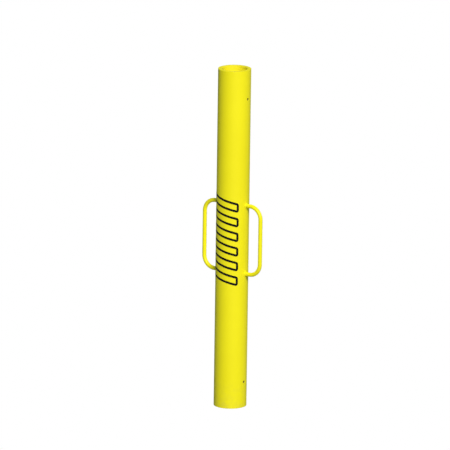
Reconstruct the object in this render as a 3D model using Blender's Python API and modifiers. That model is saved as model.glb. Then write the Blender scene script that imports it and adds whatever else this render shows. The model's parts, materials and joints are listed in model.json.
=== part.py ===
"""Telescopic street bollard.

A thick-walled outer post stands on its flat base. Two bent-rod handles are welded to its sides so that it can be
carried. An inner post sits inside it, slides up out of the open top, and is locked at each end of its travel by a
sprung plunger that springs out through a hole in the outer wall.
Metres, +Z up, origin at the centre of the base, +X through the lock holes and the right handle.
"""

from math import cos, pi, radians, sin, tau

import bmesh
import bpy
from mathutils import Matrix, Vector

# Driving dimensions, in metres.
GAP = 0.0003  # between pieces that touch
POST_LENGTH = 1.0668
POST_RADIUS = 0.0508
POST_WALL = 0.00635
BORE_RADIUS = POST_RADIUS - POST_WALL

LOCK_HOLE_RADIUS = 0.004
LOWER_LOCK_HEIGHT = 0.0810
UPPER_LOCK_HEIGHT = POST_LENGTH - 0.0900
STROKE = UPPER_LOCK_HEIGHT - LOWER_LOCK_HEIGHT

HANDLE_ROD_RADIUS = 0.00635
HANDLE_REACH = 0.1050  # from the post's axis to the grip's centre line
HANDLE_HEIGHT = 0.2160  # between the centre lines of its two legs
HANDLE_BEND = 0.0381
WELD_LEG = 0.0045

BUSH_LENGTH = 0.060
BUSH_INNER_RADIUS = 0.0386
WIPER_HEIGHT = 0.0190  # up from the bush's lower end
WIPER_THICKNESS = 0.0060
WIPER_DEPTH = 0.0023
INNER_RADIUS = 0.0381
INNER_WALL = 0.004
INNER_BORE_RADIUS = INNER_RADIUS - INNER_WALL
INNER_TOP = 0.0340  # below the rim
CAP_THICKNESS = 0.006
CAP_SPIGOT = 0.024
BAND_HEIGHTS = (0.862, 0.722)
BAND_WIDTH = 0.060
BAND_RECESS = 0.0007

BASE_THICKNESS = 0.012
BUFFER_SCREW_RADIUS = 0.003
BUFFER_HEAD_RADIUS = 0.006
BUFFER_HEAD_HEIGHT = 0.004
DRAIN_RADIUS = 0.004
DRAIN_CIRCLE = 0.037
BUFFER_RADIUS = 0.034
BUFFER_THICKNESS = 0.018
BLOCK_RADIUS = 0.0440
BLOCK_BOTTOM = BASE_THICKNESS + BUFFER_THICKNESS + 2 * GAP
STOP_CLEARANCE = 0.0014  # left between block and bush when the post is locked up
BLOCK_TOP = POST_LENGTH - BUSH_LENGTH - STROKE - STOP_CLEARANCE
BLOCK_SPIGOT = 0.042

RAIL_WIDTH = 0.008
RAIL_THICKNESS = 0.004
RAIL_OUTER_FACE = 0.0439  # from the post's axis
RAIL_BOTTOM = 0.020
RAIL_TOP = 1.004
RIVET_HEIGHTS = (0.080, 0.3067, 0.5334, 0.7601, 0.9868)

PLUNGER_RADIUS = 0.0036
PLUNGER_TIP = 0.0435  # from the post's axis, pressed in
SHOULDER_RADIUS = 0.0056
SHOULDER_START = 0.0265
SHOULDER_END = 0.0305
PLUNGER_TAIL_RADIUS = 0.0030
PLUNGER_TAIL_START = 0.016
PLUNGER_BORE_START = 0.007
PLUNGER_BORE_RADIUS = 0.0062
STOP_BUSH_START = 0.0395
STOP_BUSH_END = 0.0432
STOP_BUSH_RADIUS = 0.0070

RING_ROD_RADIUS = 0.003
RING_HALF_WIDTH = 0.018
RING_REACH = 0.036
RING_BEND = 0.007
RING_HINGE_X = -0.012
CLIP_WIDTH = 0.016
CLIP_THICKNESS = 0.002
CLIP_FLANGE = 0.0085

MARK_BARS = 6
MARK_BOTTOM = 0.390
MARK_TOP = 0.652
MARK_BAR_HEIGHT = 0.030
MARK_START = radians(-33)
MARK_END = radians(-152)
MARK_SLANT = radians(15)
MARK_STROKE = 0.0070
MARK_FILM = 0.0002
MARK_FACETS = 20  # along each bar

OUTER_ROUND = 72  # sides of the outer tube
ROUND = 48  # sides of the turned pieces inside it
SMALL_ROUND = 12  # sides of screws and rivets

for old in list(bpy.data.objects):
    bpy.data.objects.remove(old, do_unlink=True)

PARTS = bpy.data.collections.new("telescopic_bollard")
CUTTERS = bpy.data.collections.new("cutters")
bpy.context.scene.collection.children.link(PARTS)
bpy.context.scene.collection.children.link(CUTTERS)


def material(name, colour, roughness, metallic=0.0):
    made = bpy.data.materials.new(name)
    made.use_nodes = True
    shader = made.node_tree.nodes["Principled BSDF"]
    shader.inputs["Base Color"].default_value = (*colour, 1.0)
    shader.inputs["Roughness"].default_value = roughness
    shader.inputs["Metallic"].default_value = metallic
    return made


def place(name, mesh, finish=None):
    """Adds a mesh as a part, or as a cutter when it has no finish."""
    added = bpy.data.objects.new(name, mesh)
    if finish:
        PARTS.objects.link(added)
        mesh.materials.clear()
        mesh.materials.append(finish)
        mesh.shade_smooth()
        mesh.set_sharp_from_angle(angle=radians(35))
    else:
        CUTTERS.objects.link(added)
        added.hide_render = True
        added.display_type = "WIRE"
    return added


def cut(target, cutter):
    """Takes the cutter's shape out of the target."""
    boolean = target.modifiers.new("cut_" + cutter.name, "BOOLEAN")
    boolean.operation = "DIFFERENCE"
    boolean.solver = "EXACT"
    boolean.object = cutter


def read(obj):
    """The object's evaluated mesh. The object itself goes."""
    bpy.context.view_layer.update()
    graph = bpy.context.evaluated_depsgraph_get()
    mesh = bpy.data.meshes.new_from_object(obj.evaluated_get(graph))
    mesh.name = obj.name
    bpy.data.objects.remove(obj, do_unlink=True)
    return mesh


def turned(name, profile, sides=ROUND):
    """A turned mesh. The profile is (radius, height) points, down the outer side, and closed unless it meets the axis."""
    bm = bmesh.new()
    points = [bm.verts.new((radius, 0, height)) for radius, height in profile]
    on_axis = profile[0][0] == 0 and profile[-1][0] == 0
    for start, end in zip(points, points[1:] if on_axis else points[1:] + points[:1]):
        bm.edges.new((start, end))
    mesh = bpy.data.meshes.new(name)
    bm.to_mesh(mesh)
    bm.free()
    lathe = bpy.data.objects.new(name, mesh)
    PARTS.objects.link(lathe)
    screw = lathe.modifiers.new("turn", "SCREW")
    screw.axis = "Z"
    screw.steps = screw.render_steps = sides
    screw.use_merge_vertices = True
    screw.merge_threshold = 0.00001
    return read(lathe)


def ring(name, outer, inner, bottom, top, sides=ROUND):
    return turned(name, [(outer, top), (outer, bottom), (inner, bottom), (inner, top)], sides)


def disc(name, radius, bottom, top, sides=ROUND):
    return turned(name, [(0, top), (radius, top), (radius, bottom), (0, bottom)], sides)


def cutter_at(name, shape, places):
    """One cutter that holds a copy of the shape at each of the places."""
    bm = bmesh.new()
    for where in places:
        one = shape.copy()
        one.transform(where)
        bm.from_mesh(one)
        bpy.data.meshes.remove(one)
    joined = bpy.data.meshes.new(name)
    bm.to_mesh(joined)
    bm.free()
    return place(name, joined)


def each(name, shape, places, finish):
    """A part at each of the places, all sharing one mesh."""
    made = [place(f"{name}_{i}", shape, finish) for i, _ in enumerate(places, 1)]
    for part, where in zip(made, places):
        part.matrix_world = where
    return made


def socketed(shape, socket):
    """A screw's mesh with its driving socket cut into the head."""
    head = bpy.data.objects.new(shape.name, shape)
    PARTS.objects.link(head)
    tool = place(shape.name + "_socket", socket)
    cut(head, tool)
    mesh = read(head)
    bpy.data.objects.remove(tool, do_unlink=True)
    return mesh


def box(name, low, high):
    bm = bmesh.new()
    bmesh.ops.create_cube(bm, size=1)
    size = [h - l for l, h in zip(low, high)]
    middle = [(h + l) / 2 for l, h in zip(low, high)]
    bmesh.ops.scale(bm, vec=size, verts=bm.verts)
    bmesh.ops.translate(bm, vec=middle, verts=bm.verts)
    mesh = bpy.data.meshes.new(name)
    bm.to_mesh(mesh)
    bm.free()
    return mesh


def curve(name, points, radius, cyclic=False, resolution=4):
    """A round rod along the points, as a mesh with welded caps."""
    path = bpy.data.curves.new(name, "CURVE")
    path.dimensions = "3D"
    path.bevel_depth = radius
    path.bevel_resolution = resolution
    path.use_fill_caps = not cyclic
    spline = path.splines.new("POLY")
    spline.points.add(len(points) - 1)
    spline.use_cyclic_u = cyclic
    for point, where in zip(spline.points, points):
        point.co = (*where, 1)
    rod = bpy.data.objects.new(name, path)
    PARTS.objects.link(rod)
    mesh = read(rod)
    bm = bmesh.new()
    bm.from_mesh(mesh)
    bmesh.ops.remove_doubles(bm, verts=bm.verts, dist=0.00001)
    bmesh.ops.recalc_face_normals(bm, faces=bm.faces)
    bm.to_mesh(mesh)
    bm.free()
    return mesh


def arc(centre, across, up, radius, start, end, steps):
    """Points on an arc in the plane of the two directions, from one angle to the other."""
    centre, across, up = Vector(centre), Vector(across), Vector(up)
    angles = [start + (end - start) * i / steps for i in range(steps + 1)]
    return [centre + radius * (cos(a) * across + sin(a) * up) for a in angles]


def radial(angle, height, reach=0.0):
    """Turns a piece modelled along +Z to point out from the post's axis, at an angle round it and at a height."""
    return (
        Matrix.Translation((0, 0, height))
        @ Matrix.Rotation(angle, 4, "Z")
        @ Matrix.Rotation(pi / 2, 4, "Y")
        @ Matrix.Translation((0, 0, reach))
    )


PAINT = material("yellow_paint", (0.93, 0.83, 0.02), 0.35)
HANDLE_PAINT = material("handle_yellow_paint", (0.95, 0.85, 0.02), 0.32)
BUSH_PLASTIC = material("yellow_bush_plastic", (0.90, 0.80, 0.02), 0.45)
MARK_BLACK = material("black_marking_film", (0.01, 0.01, 0.01), 0.5)
RUBBER = material("black_rubber", (0.02, 0.02, 0.02), 0.8)
ZINC = material("zinc_plated_steel", (0.62, 0.62, 0.60), 0.35, 1.0)
STAINLESS = material("stainless_steel", (0.60, 0.60, 0.60), 0.25, 1.0)
GALVANISED = material("galvanised_steel", (0.50, 0.52, 0.53), 0.5, 1.0)
BLOCK_PLASTIC = material("black_slide_plastic", (0.03, 0.03, 0.03), 0.5)
BAND_WHITE = material("reflective_white", (0.85, 0.86, 0.88), 0.3)
SPRING_STEEL = material("spring_steel", (0.35, 0.34, 0.33), 0.3, 1.0)

# Grub screws: M6 with a hexagon socket. They enter from the side that faces away from the marking.
GRUB_RADIUS = 0.003
GRUB_ANGLES = (radians(75), radians(165))
SOCKET_RADIUS = 0.0017
SOCKET_DEPTH = 0.003
BUSH_GRUB_HEIGHT = POST_LENGTH - 0.030
BASE_GRUB_HEIGHT = BASE_THICKNESS / 2


def grub_screws(name, height, tip):
    """Two grub screws at one height, their outer ends just under the post's face."""
    head = POST_RADIUS - GAP
    shape = disc(name, GRUB_RADIUS, tip, head, SMALL_ROUND)
    shape = socketed(shape, disc("socket", SOCKET_RADIUS, head - SOCKET_DEPTH, head + GAP, 6))
    each(name, shape, [radial(angle, height) for angle in GRUB_ANGLES], ZINC)


def grub_holes(name, height, tip):
    shape = disc(name, GRUB_RADIUS + GAP, tip - GAP, POST_RADIUS + 0.002, SMALL_ROUND)
    return cutter_at(name, shape, [radial(angle, height) for angle in GRUB_ANGLES])


# Countersunk screws: M6, flush with the inner post, which has to pass through the bush.
SUNK_HEAD_RADIUS = 0.0055
SUNK_HEAD_HEIGHT = 0.0028
SUNK_FACE = 0.0376  # from the post's axis
SUNK_SHANK_RADIUS = 0.003
SUNK_LENGTH = 0.013
SUNK_ANGLES = tuple(radians(45 + 90 * i) for i in range(4))
FOOT_SCREW_HEIGHT = BLOCK_TOP + 0.022
CAP_SCREW_HEIGHT = POST_LENGTH - INNER_TOP - CAP_THICKNESS - 0.013


def countersunk(name, grow, face):
    """A countersunk screw's shape along +Z. Grown, and with its face raised, it cuts its own seat."""
    return turned(
        name,
        [
            (0, face),
            (SUNK_HEAD_RADIUS + grow, face),
            (SUNK_HEAD_RADIUS + grow, SUNK_FACE - grow / 2),
            (SUNK_SHANK_RADIUS + grow, SUNK_FACE - SUNK_HEAD_HEIGHT - grow),
            (SUNK_SHANK_RADIUS + grow, SUNK_FACE - SUNK_LENGTH - grow),
            (0, SUNK_FACE - SUNK_LENGTH - grow),
        ],
        SMALL_ROUND,
    )


def countersunk_screws(name, height):
    shape = countersunk(name, 0.0, SUNK_FACE + GAP)
    shape = socketed(shape, disc("socket", SOCKET_RADIUS, SUNK_FACE - 0.002, SUNK_FACE + 0.001, 6))
    each(name, shape, [radial(angle, height) for angle in SUNK_ANGLES], STAINLESS)


def countersunk_holes(name, height):
    shape = countersunk(name, GAP, INNER_RADIUS + 0.001)
    return cutter_at(name, shape, [radial(angle, height) for angle in SUNK_ANGLES])


# Blind rivets that hold the guide rail, domed outside and flush inside.
RIVET_ANGLE = pi
RIVET_RADIUS = 0.0024
RIVET_HEAD_RADIUS = 0.0048
RIVET_HEAD_HEIGHT = 0.0022
RAIL_INNER_FACE = RAIL_OUTER_FACE - RAIL_THICKNESS


def rivets():
    dome = [
        (RIVET_HEAD_RADIUS * cos(a), POST_RADIUS + GAP + RIVET_HEAD_HEIGHT * sin(a))
        for a in (pi / 2, pi / 3, pi / 6, 0)
    ]
    dome[0] = (0, POST_RADIUS + GAP + RIVET_HEAD_HEIGHT)
    end = RAIL_INNER_FACE + GAP
    stem = [(RIVET_RADIUS, POST_RADIUS + GAP), (RIVET_RADIUS, end), (0, end)]
    shape = turned("rail_rivet", dome + stem, SMALL_ROUND)
    each("rail_rivet", shape, [radial(RIVET_ANGLE, height) for height in RIVET_HEIGHTS], ZINC)


def rivet_holes():
    shape = disc("rivet_holes", RIVET_RADIUS + GAP, RAIL_INNER_FACE - 0.002, POST_RADIUS + 0.002, SMALL_ROUND)
    return cutter_at("rivet_holes", shape, [radial(RIVET_ANGLE, z) for z in RIVET_HEIGHTS])


def lock_holes():
    shape = disc("lock_holes", LOCK_HOLE_RADIUS, BORE_RADIUS - 0.004, POST_RADIUS + 0.002, 20)
    heights = (LOWER_LOCK_HEIGHT, UPPER_LOCK_HEIGHT)
    return cutter_at("lock_holes", shape, [radial(0, z) for z in heights])


def outer_tube():
    """The outer post: a plain tube cut square at both ends, with the two lock holes in line."""
    mesh = ring("outer_tube", POST_RADIUS, BORE_RADIUS, 0, POST_LENGTH, OUTER_ROUND)
    tube = place("outer_tube", mesh, PAINT)
    cut(tube, lock_holes())
    cut(tube, RIVET_HOLES)
    cut(tube, BUSH_GRUB_HOLES)
    cut(tube, BASE_GRUB_HOLES)
    return tube


def handles():
    """Two D handles, each one rod with two equal bends, coped to the post and butted on at mid-length."""
    across, up = (1, 0, 0), (0, 0, 1)
    middle, half = POST_LENGTH / 2, HANDLE_HEIGHT / 2
    turn = HANDLE_REACH - HANDLE_BEND
    start = POST_RADIUS - 0.004
    points = [Vector((start, 0, middle + half))]
    points += arc((turn, 0, middle + half - HANDLE_BEND), across, up, HANDLE_BEND, pi / 2, 0, 7)
    points += arc((turn, 0, middle - half + HANDLE_BEND), across, up, HANDLE_BEND, 0, -pi / 2, 7)
    points += [Vector((start, 0, middle - half))]
    rod = curve("handle_right", points, HANDLE_ROD_RADIUS, resolution=6)
    cope = place("handle_cope", disc("handle_cope", POST_RADIUS + GAP, 0.3, 0.8, OUTER_ROUND))
    right = place("handle_right", rod, HANDLE_PAINT)
    left = place("handle_left", rod.copy(), HANDLE_PAINT)
    left.rotation_euler.z = pi
    cut(right, cope)
    cut(left, cope)

    bead = turned(
        "handle_weld",
        [
            (HANDLE_ROD_RADIUS + 0.0008, POST_RADIUS + WELD_LEG),
            (HANDLE_ROD_RADIUS + WELD_LEG * 0.55, POST_RADIUS + WELD_LEG * 0.35),
            (HANDLE_ROD_RADIUS + WELD_LEG, POST_RADIUS - 0.0012),
            (HANDLE_ROD_RADIUS + WELD_LEG, POST_RADIUS - 0.003),
            (HANDLE_ROD_RADIUS + GAP, POST_RADIUS - 0.003),
            (HANDLE_ROD_RADIUS + GAP, POST_RADIUS + WELD_LEG),
        ],
        20,
    )
    places = [radial(angle, middle + side * half) for angle in (0, pi) for side in (1, -1)]
    for weld in each("handle_weld", bead, places, HANDLE_PAINT):
        cut(weld, cope)


def guide_bush():
    """A plain collar in the mouth of the tube, which guides the inner post and stops it from leaving."""
    bottom = POST_LENGTH - BUSH_LENGTH
    outer = BORE_RADIUS - GAP
    groove = bottom + WIPER_HEIGHT
    groove_radius = BUSH_INNER_RADIUS + WIPER_DEPTH + GAP
    profile = [
        (outer, POST_LENGTH),
        (outer, bottom),
        (BUSH_INNER_RADIUS, bottom),
        (BUSH_INNER_RADIUS, groove - GAP),
        (groove_radius, groove - GAP),
        (groove_radius, groove + WIPER_THICKNESS + GAP),
        (BUSH_INNER_RADIUS, groove + WIPER_THICKNESS + GAP),
        (BUSH_INNER_RADIUS, POST_LENGTH - 0.001),
        (BUSH_INNER_RADIUS + 0.001, POST_LENGTH),
    ]
    bush = place("top_guide_bush", turned("top_guide_bush", profile), BUSH_PLASTIC)
    cut(bush, BUSH_GRUB_HOLES)
    wiper = ring(
        "wiper_ring",
        BUSH_INNER_RADIUS + WIPER_DEPTH,
        INNER_RADIUS + GAP,
        groove,
        groove + WIPER_THICKNESS,
    )
    place("wiper_ring", wiper, RUBBER)


def guide_rail():
    """A flat key up the inside of the outer tube. It keeps the inner post from turning."""
    low = (-RAIL_OUTER_FACE, -RAIL_WIDTH / 2, RAIL_BOTTOM)
    high = (-RAIL_INNER_FACE, RAIL_WIDTH / 2, RAIL_TOP)
    rail = place("guide_rail", box("guide_rail", low, high), GALVANISED)
    cut(rail, RIVET_HOLES)


def base():
    """The drained base plug and the rubber buffer that the inner post lands on."""
    plug = place("base_plug", disc("base_plug", BORE_RADIUS - GAP, 0, BASE_THICKNESS), GALVANISED)
    drain = disc("drain_shape", DRAIN_RADIUS, -0.002, BASE_THICKNESS + 0.002, SMALL_ROUND)
    places = [
        Matrix.Rotation(tau * i / 4 + pi / 4, 4, "Z") @ Matrix.Translation((DRAIN_CIRCLE, 0, 0))
        for i in range(4)
    ]
    cut(plug, cutter_at("drain_holes", drain, places))
    cut(plug, BASE_GRUB_HOLES)
    tip = BASE_THICKNESS - 0.007
    hole = disc("buffer_screw_hole", BUFFER_SCREW_RADIUS + GAP, tip - 0.001, 0.05, SMALL_ROUND)
    cut(plug, place("buffer_screw_hole", hole))

    bottom = BASE_THICKNESS + GAP
    top = bottom + BUFFER_THICKNESS
    sink = top - BUFFER_HEAD_HEIGHT - 0.003
    profile = [
        (BUFFER_RADIUS - 0.002, top),
        (BUFFER_RADIUS, top - 0.003),
        (BUFFER_RADIUS, bottom),
        (BUFFER_SCREW_RADIUS + GAP, bottom),
        (BUFFER_SCREW_RADIUS + GAP, sink),
        (BUFFER_HEAD_RADIUS + 0.001, sink),
        (BUFFER_HEAD_RADIUS + 0.001, top),
    ]
    place("landing_buffer", turned("landing_buffer", profile), RUBBER)
    head = sink + GAP
    crown = head + BUFFER_HEAD_HEIGHT
    profile = [
        (0, crown),
        (BUFFER_HEAD_RADIUS, crown),
        (BUFFER_HEAD_RADIUS, head),
        (BUFFER_SCREW_RADIUS, head),
        (BUFFER_SCREW_RADIUS, tip),
        (0, tip),
    ]
    socket = disc("socket", 0.0024, head + 0.0015, crown + 0.001, 6)
    place("buffer_screw", socketed(turned("buffer_screw", profile, SMALL_ROUND), socket), ZINC)


def side_marking():
    """A column of slanted hazard bars in outline, a black film wrapped part of the way round the post."""
    radius = POST_RADIUS + GAP
    width = radius * (MARK_START - MARK_END)
    pitch = (MARK_TOP - MARK_BOTTOM - MARK_BAR_HEIGHT) / (MARK_BARS - 1)
    rise = MARK_STROKE / cos(MARK_SLANT)
    for i in range(MARK_BARS):
        low = MARK_BOTTOM + i * pitch
        high = low + MARK_BAR_HEIGHT
        bm = bmesh.new()

        def corner(along, height):
            """A point of the flat pattern, wrapped round the post and lifted by the bars' slant."""
            angle = MARK_START - along / radius
            lift = along * sin(MARK_SLANT) / cos(MARK_SLANT)
            return bm.verts.new((radius * cos(angle), radius * sin(angle), height + lift))

        outer_row = [width * k / MARK_FACETS for k in range(MARK_FACETS + 1)]
        inner_row = [MARK_STROKE + (width - 2 * MARK_STROKE) * a / width for a in outer_row]
        outer = [corner(a, low) for a in outer_row] + [corner(a, high) for a in reversed(outer_row)]
        inner = [corner(a, low + rise) for a in inner_row]
        inner += [corner(a, high - rise) for a in reversed(inner_row)]
        for k in range(len(outer)):
            n = (k + 1) % len(outer)
            bm.faces.new((outer[k], inner[k], inner[n], outer[n]))
        mesh = bpy.data.meshes.new("marking_bar")
        bm.to_mesh(mesh)
        bm.free()
        film = place(f"marking_bar_{i + 1}", mesh, MARK_BLACK)
        solid = film.modifiers.new("film", "SOLIDIFY")
        solid.thickness = MARK_FILM
        solid.offset = 1.0


def inner_tube():
    """The inner post, with two shallow recesses so that the reflective bands pass the wiper."""
    top = POST_LENGTH - INNER_TOP - CAP_THICKNESS - GAP
    bottom = BLOCK_TOP + GAP
    outline = [(INNER_RADIUS, top)]
    for height in BAND_HEIGHTS:
        outline += [
            (INNER_RADIUS, height + BAND_WIDTH + GAP),
            (INNER_RADIUS - BAND_RECESS, height + BAND_WIDTH + GAP),
            (INNER_RADIUS - BAND_RECESS, height - GAP),
            (INNER_RADIUS, height - GAP),
        ]
    outline += [(INNER_RADIUS, bottom), (INNER_BORE_RADIUS, bottom), (INNER_BORE_RADIUS, top)]
    tube = place("inner_tube", turned("inner_tube", outline), PAINT)
    cut(tube, CAP_SCREW_HOLES)
    cut(tube, FOOT_SCREW_HOLES)
    for name, height in zip(("upper_reflective_band", "lower_reflective_band"), BAND_HEIGHTS):
        outer = INNER_RADIUS - 0.0001
        inner = INNER_RADIUS - BAND_RECESS + GAP
        place(name, ring(name, outer, inner, height, height + BAND_WIDTH), BAND_WHITE)


def foot_block():
    """The slide block on the foot of the inner post. It runs in the bore, clears the rail, and holds the lock plunger."""
    spigot = INNER_BORE_RADIUS - GAP
    profile = [
        (0, BLOCK_TOP + BLOCK_SPIGOT),
        (spigot - 0.002, BLOCK_TOP + BLOCK_SPIGOT),
        (spigot, BLOCK_TOP + BLOCK_SPIGOT - 0.002),
        (spigot, BLOCK_TOP),
        (BLOCK_RADIUS - 0.001, BLOCK_TOP),
        (BLOCK_RADIUS, BLOCK_TOP - 0.001),
        (BLOCK_RADIUS, BLOCK_BOTTOM + 0.001),
        (BLOCK_RADIUS - 0.001, BLOCK_BOTTOM),
        (0, BLOCK_BOTTOM),
    ]
    block = place("foot_block", turned("foot_block", profile), BLOCK_PLASTIC)
    side, depth = RAIL_WIDTH / 2 + 0.0005, RAIL_INNER_FACE - 0.0005
    slot = box("rail_slot", (-BLOCK_RADIUS - 0.002, -side, 0), (-depth, side, BLOCK_TOP + 0.01))
    cut(block, place("rail_slot", slot))
    bore = [
        (0, BLOCK_RADIUS + 0.002),
        (STOP_BUSH_RADIUS + GAP, BLOCK_RADIUS + 0.002),
        (STOP_BUSH_RADIUS + GAP, STOP_BUSH_START - GAP),
        (PLUNGER_BORE_RADIUS, STOP_BUSH_START - GAP),
        (PLUNGER_BORE_RADIUS, PLUNGER_BORE_START),
        (0, PLUNGER_BORE_START),
    ]
    bore = turned("plunger_bore", bore, 20)
    bore.transform(radial(0, LOWER_LOCK_HEIGHT))
    cut(block, place("plunger_bore", bore))
    cut(block, FOOT_SCREW_HOLES)


def plunger():
    """The lock plunger with its spring behind it and, in front, the screwed-in bush that keeps it in. The plunger's
    origin is on its slide axis."""
    chamfer = 0.0008
    profile = [
        (0, PLUNGER_TIP),
        (PLUNGER_RADIUS - chamfer, PLUNGER_TIP),
        (PLUNGER_RADIUS, PLUNGER_TIP - chamfer),
        (PLUNGER_RADIUS, SHOULDER_END),
        (SHOULDER_RADIUS, SHOULDER_END),
        (SHOULDER_RADIUS, SHOULDER_START),
        (PLUNGER_TAIL_RADIUS, SHOULDER_START),
        (PLUNGER_TAIL_RADIUS, PLUNGER_TAIL_START),
        (0, PLUNGER_TAIL_START),
    ]
    pin = place("lock_plunger", turned("lock_plunger", profile, 20), STAINLESS)
    pin.matrix_world = radial(0, LOWER_LOCK_HEIGHT)

    stop = ring("plunger_stop_bush", STOP_BUSH_RADIUS, PLUNGER_RADIUS + GAP, STOP_BUSH_START, STOP_BUSH_END, 20)
    stop = place("plunger_stop_bush", stop, ZINC)
    stop.matrix_world = radial(0, LOWER_LOCK_HEIGHT)

    wire, turns, per_turn = 0.0006, 6, 9
    coil = PLUNGER_TAIL_RADIUS + GAP + wire + 0.0002
    start = PLUNGER_BORE_START + wire + GAP
    length = SHOULDER_START - wire - GAP - start
    points = []
    for i in range(turns * per_turn + 1):
        angle = tau * i / per_turn
        points.append((coil * cos(angle), coil * sin(angle), start + length * i / (turns * per_turn)))
    spring = place("plunger_spring", curve("plunger_spring", points, wire, resolution=2), SPRING_STEEL)
    spring.matrix_world = radial(0, LOWER_LOCK_HEIGHT)


CAP_TOP = POST_LENGTH - INNER_TOP
RING_AXIS = CAP_TOP + GAP + RING_ROD_RADIUS


def top_cap():
    """The cap that closes the inner post, held by four flush screws."""
    spigot = INNER_BORE_RADIUS - GAP
    shoulder = CAP_TOP - CAP_THICKNESS
    profile = [
        (0, CAP_TOP),
        (INNER_RADIUS - 0.0015, CAP_TOP),
        (INNER_RADIUS, CAP_TOP - 0.0015),
        (INNER_RADIUS, shoulder),
        (spigot, shoulder),
        (spigot, shoulder - CAP_SPIGOT),
        (0, shoulder - CAP_SPIGOT),
    ]
    cap = place("top_cap", turned("top_cap", profile), GALVANISED)
    cut(cap, CAP_SCREW_HOLES)
    cut(cap, CLIP_SCREW_HOLES)


CLIP_SCREW_SPACING = RING_ROD_RADIUS + GAP + CLIP_THICKNESS + CLIP_FLANGE / 2
CLIP_SCREW_RADIUS = 0.002
CLIP_SCREW_LENGTH = 0.014


def clip_screw_places():
    return [Matrix.Translation((RING_HINGE_X + side * CLIP_SCREW_SPACING, 0, 0)) for side in (-1, 1)]


def clip_screw_holes():
    top = CAP_TOP + 0.006
    shape = disc("clip_screw_holes", CLIP_SCREW_RADIUS + GAP, CAP_TOP - CLIP_SCREW_LENGTH, top, SMALL_ROUND)
    return cutter_at("clip_screw_holes", shape, clip_screw_places())


def ring_clip():
    """The saddle that holds the lift ring down on the cap, with its two screws."""
    inner = RING_ROD_RADIUS + GAP
    outer = inner + CLIP_THICKNESS
    foot = CAP_TOP + GAP
    reach = outer + CLIP_FLANGE
    centre = (RING_HINGE_X, RING_AXIS)
    outline = [(reach, foot), (reach, foot + CLIP_THICKNESS), (outer, foot + CLIP_THICKNESS)]
    outline += [(outer * cos(a), RING_AXIS + outer * sin(a)) for a in [pi * i / 8 for i in range(9)]]
    outline += [(-outer, foot + CLIP_THICKNESS), (-reach, foot + CLIP_THICKNESS), (-reach, foot)]
    outline += [(-inner, foot)]
    outline += [(inner * cos(a), RING_AXIS + inner * sin(a)) for a in [pi - pi * i / 8 for i in range(9)]]
    outline += [(inner, foot)]

    flat = bpy.data.curves.new("ring_clip", "CURVE")
    flat.dimensions = "2D"
    flat.fill_mode = "BOTH"
    flat.extrude = CLIP_WIDTH / 2
    spline = flat.splines.new("POLY")
    spline.points.add(len(outline) - 1)
    spline.use_cyclic_u = True
    for point, (across, up) in zip(spline.points, outline):
        point.co = (across, up, 0, 1)
    strap = bpy.data.objects.new("ring_clip", flat)
    PARTS.objects.link(strap)
    mesh = read(strap)
    bm = bmesh.new()
    bm.from_mesh(mesh)
    bmesh.ops.remove_doubles(bm, verts=bm.verts, dist=0.00001)
    bm.to_mesh(mesh)
    bm.free()
    mesh.transform(Matrix.Translation((centre[0], 0, 0)) @ Matrix.Rotation(pi / 2, 4, "X"))
    cut(place("ring_clip", mesh, STAINLESS), CLIP_SCREW_HOLES)

    seat = foot + CLIP_THICKNESS + GAP
    head_radius, head_height = 0.0036, 0.0024
    profile = [
        (0, seat + head_height),
        (head_radius * 0.6, seat + head_height),
        (head_radius, seat + head_height * 0.4),
        (head_radius, seat),
        (CLIP_SCREW_RADIUS, seat),
        (CLIP_SCREW_RADIUS, seat - CLIP_SCREW_LENGTH),
        (0, seat - CLIP_SCREW_LENGTH),
    ]
    socket = disc("socket", 0.0014, seat + 0.0008, seat + head_height + 0.001, 6)
    each("clip_screw", socketed(turned("clip_screw", profile, SMALL_ROUND), socket), clip_screw_places(), STAINLESS)


def lift_ring():
    """A D ring that lies flat on the cap and swings up to lift the inner post. Its origin is on its hinge axis."""
    across, along = (1, 0, 0), (0, 1, 0)
    inner = RING_HALF_WIDTH - RING_BEND
    points = arc((RING_BEND, -inner, 0), across, along, RING_BEND, pi, 1.5 * pi, 5)
    points += arc((RING_REACH - RING_HALF_WIDTH, 0, 0), across, along, RING_HALF_WIDTH, -pi / 2, pi / 2, 14)
    points += arc((RING_BEND, inner, 0), across, along, RING_BEND, pi / 2, pi, 5)
    rod = curve("lift_ring", points, RING_ROD_RADIUS, cyclic=True, resolution=3)
    place("lift_ring", rod, STAINLESS).location = (RING_HINGE_X, 0, RING_AXIS)


RIVET_HOLES = rivet_holes()
BUSH_GRUB_HOLES = grub_holes("bush_grub_holes", BUSH_GRUB_HEIGHT, BORE_RADIUS - 0.0028)
BASE_GRUB_HOLES = grub_holes("base_grub_holes", BASE_GRUB_HEIGHT, BORE_RADIUS - 0.007)
CAP_SCREW_HOLES = countersunk_holes("cap_screw_holes", CAP_SCREW_HEIGHT)
FOOT_SCREW_HOLES = countersunk_holes("foot_screw_holes", FOOT_SCREW_HEIGHT)
CLIP_SCREW_HOLES = clip_screw_holes()

outer_tube()
handles()
guide_bush()
grub_screws("bush_screw", BUSH_GRUB_HEIGHT, BORE_RADIUS - 0.0028)
guide_rail()
rivets()
base()
grub_screws("base_screw", BASE_GRUB_HEIGHT, BORE_RADIUS - 0.007)
side_marking()
inner_tube()
foot_block()
countersunk_screws("foot_screw", FOOT_SCREW_HEIGHT)
plunger()
top_cap()
countersunk_screws("cap_screw", CAP_SCREW_HEIGHT)
ring_clip()
lift_ring()
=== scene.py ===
import json
from math import cos, pi, radians, sin, tan, tau

import bmesh
import bpy
from mathutils import Matrix, Vector


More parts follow.
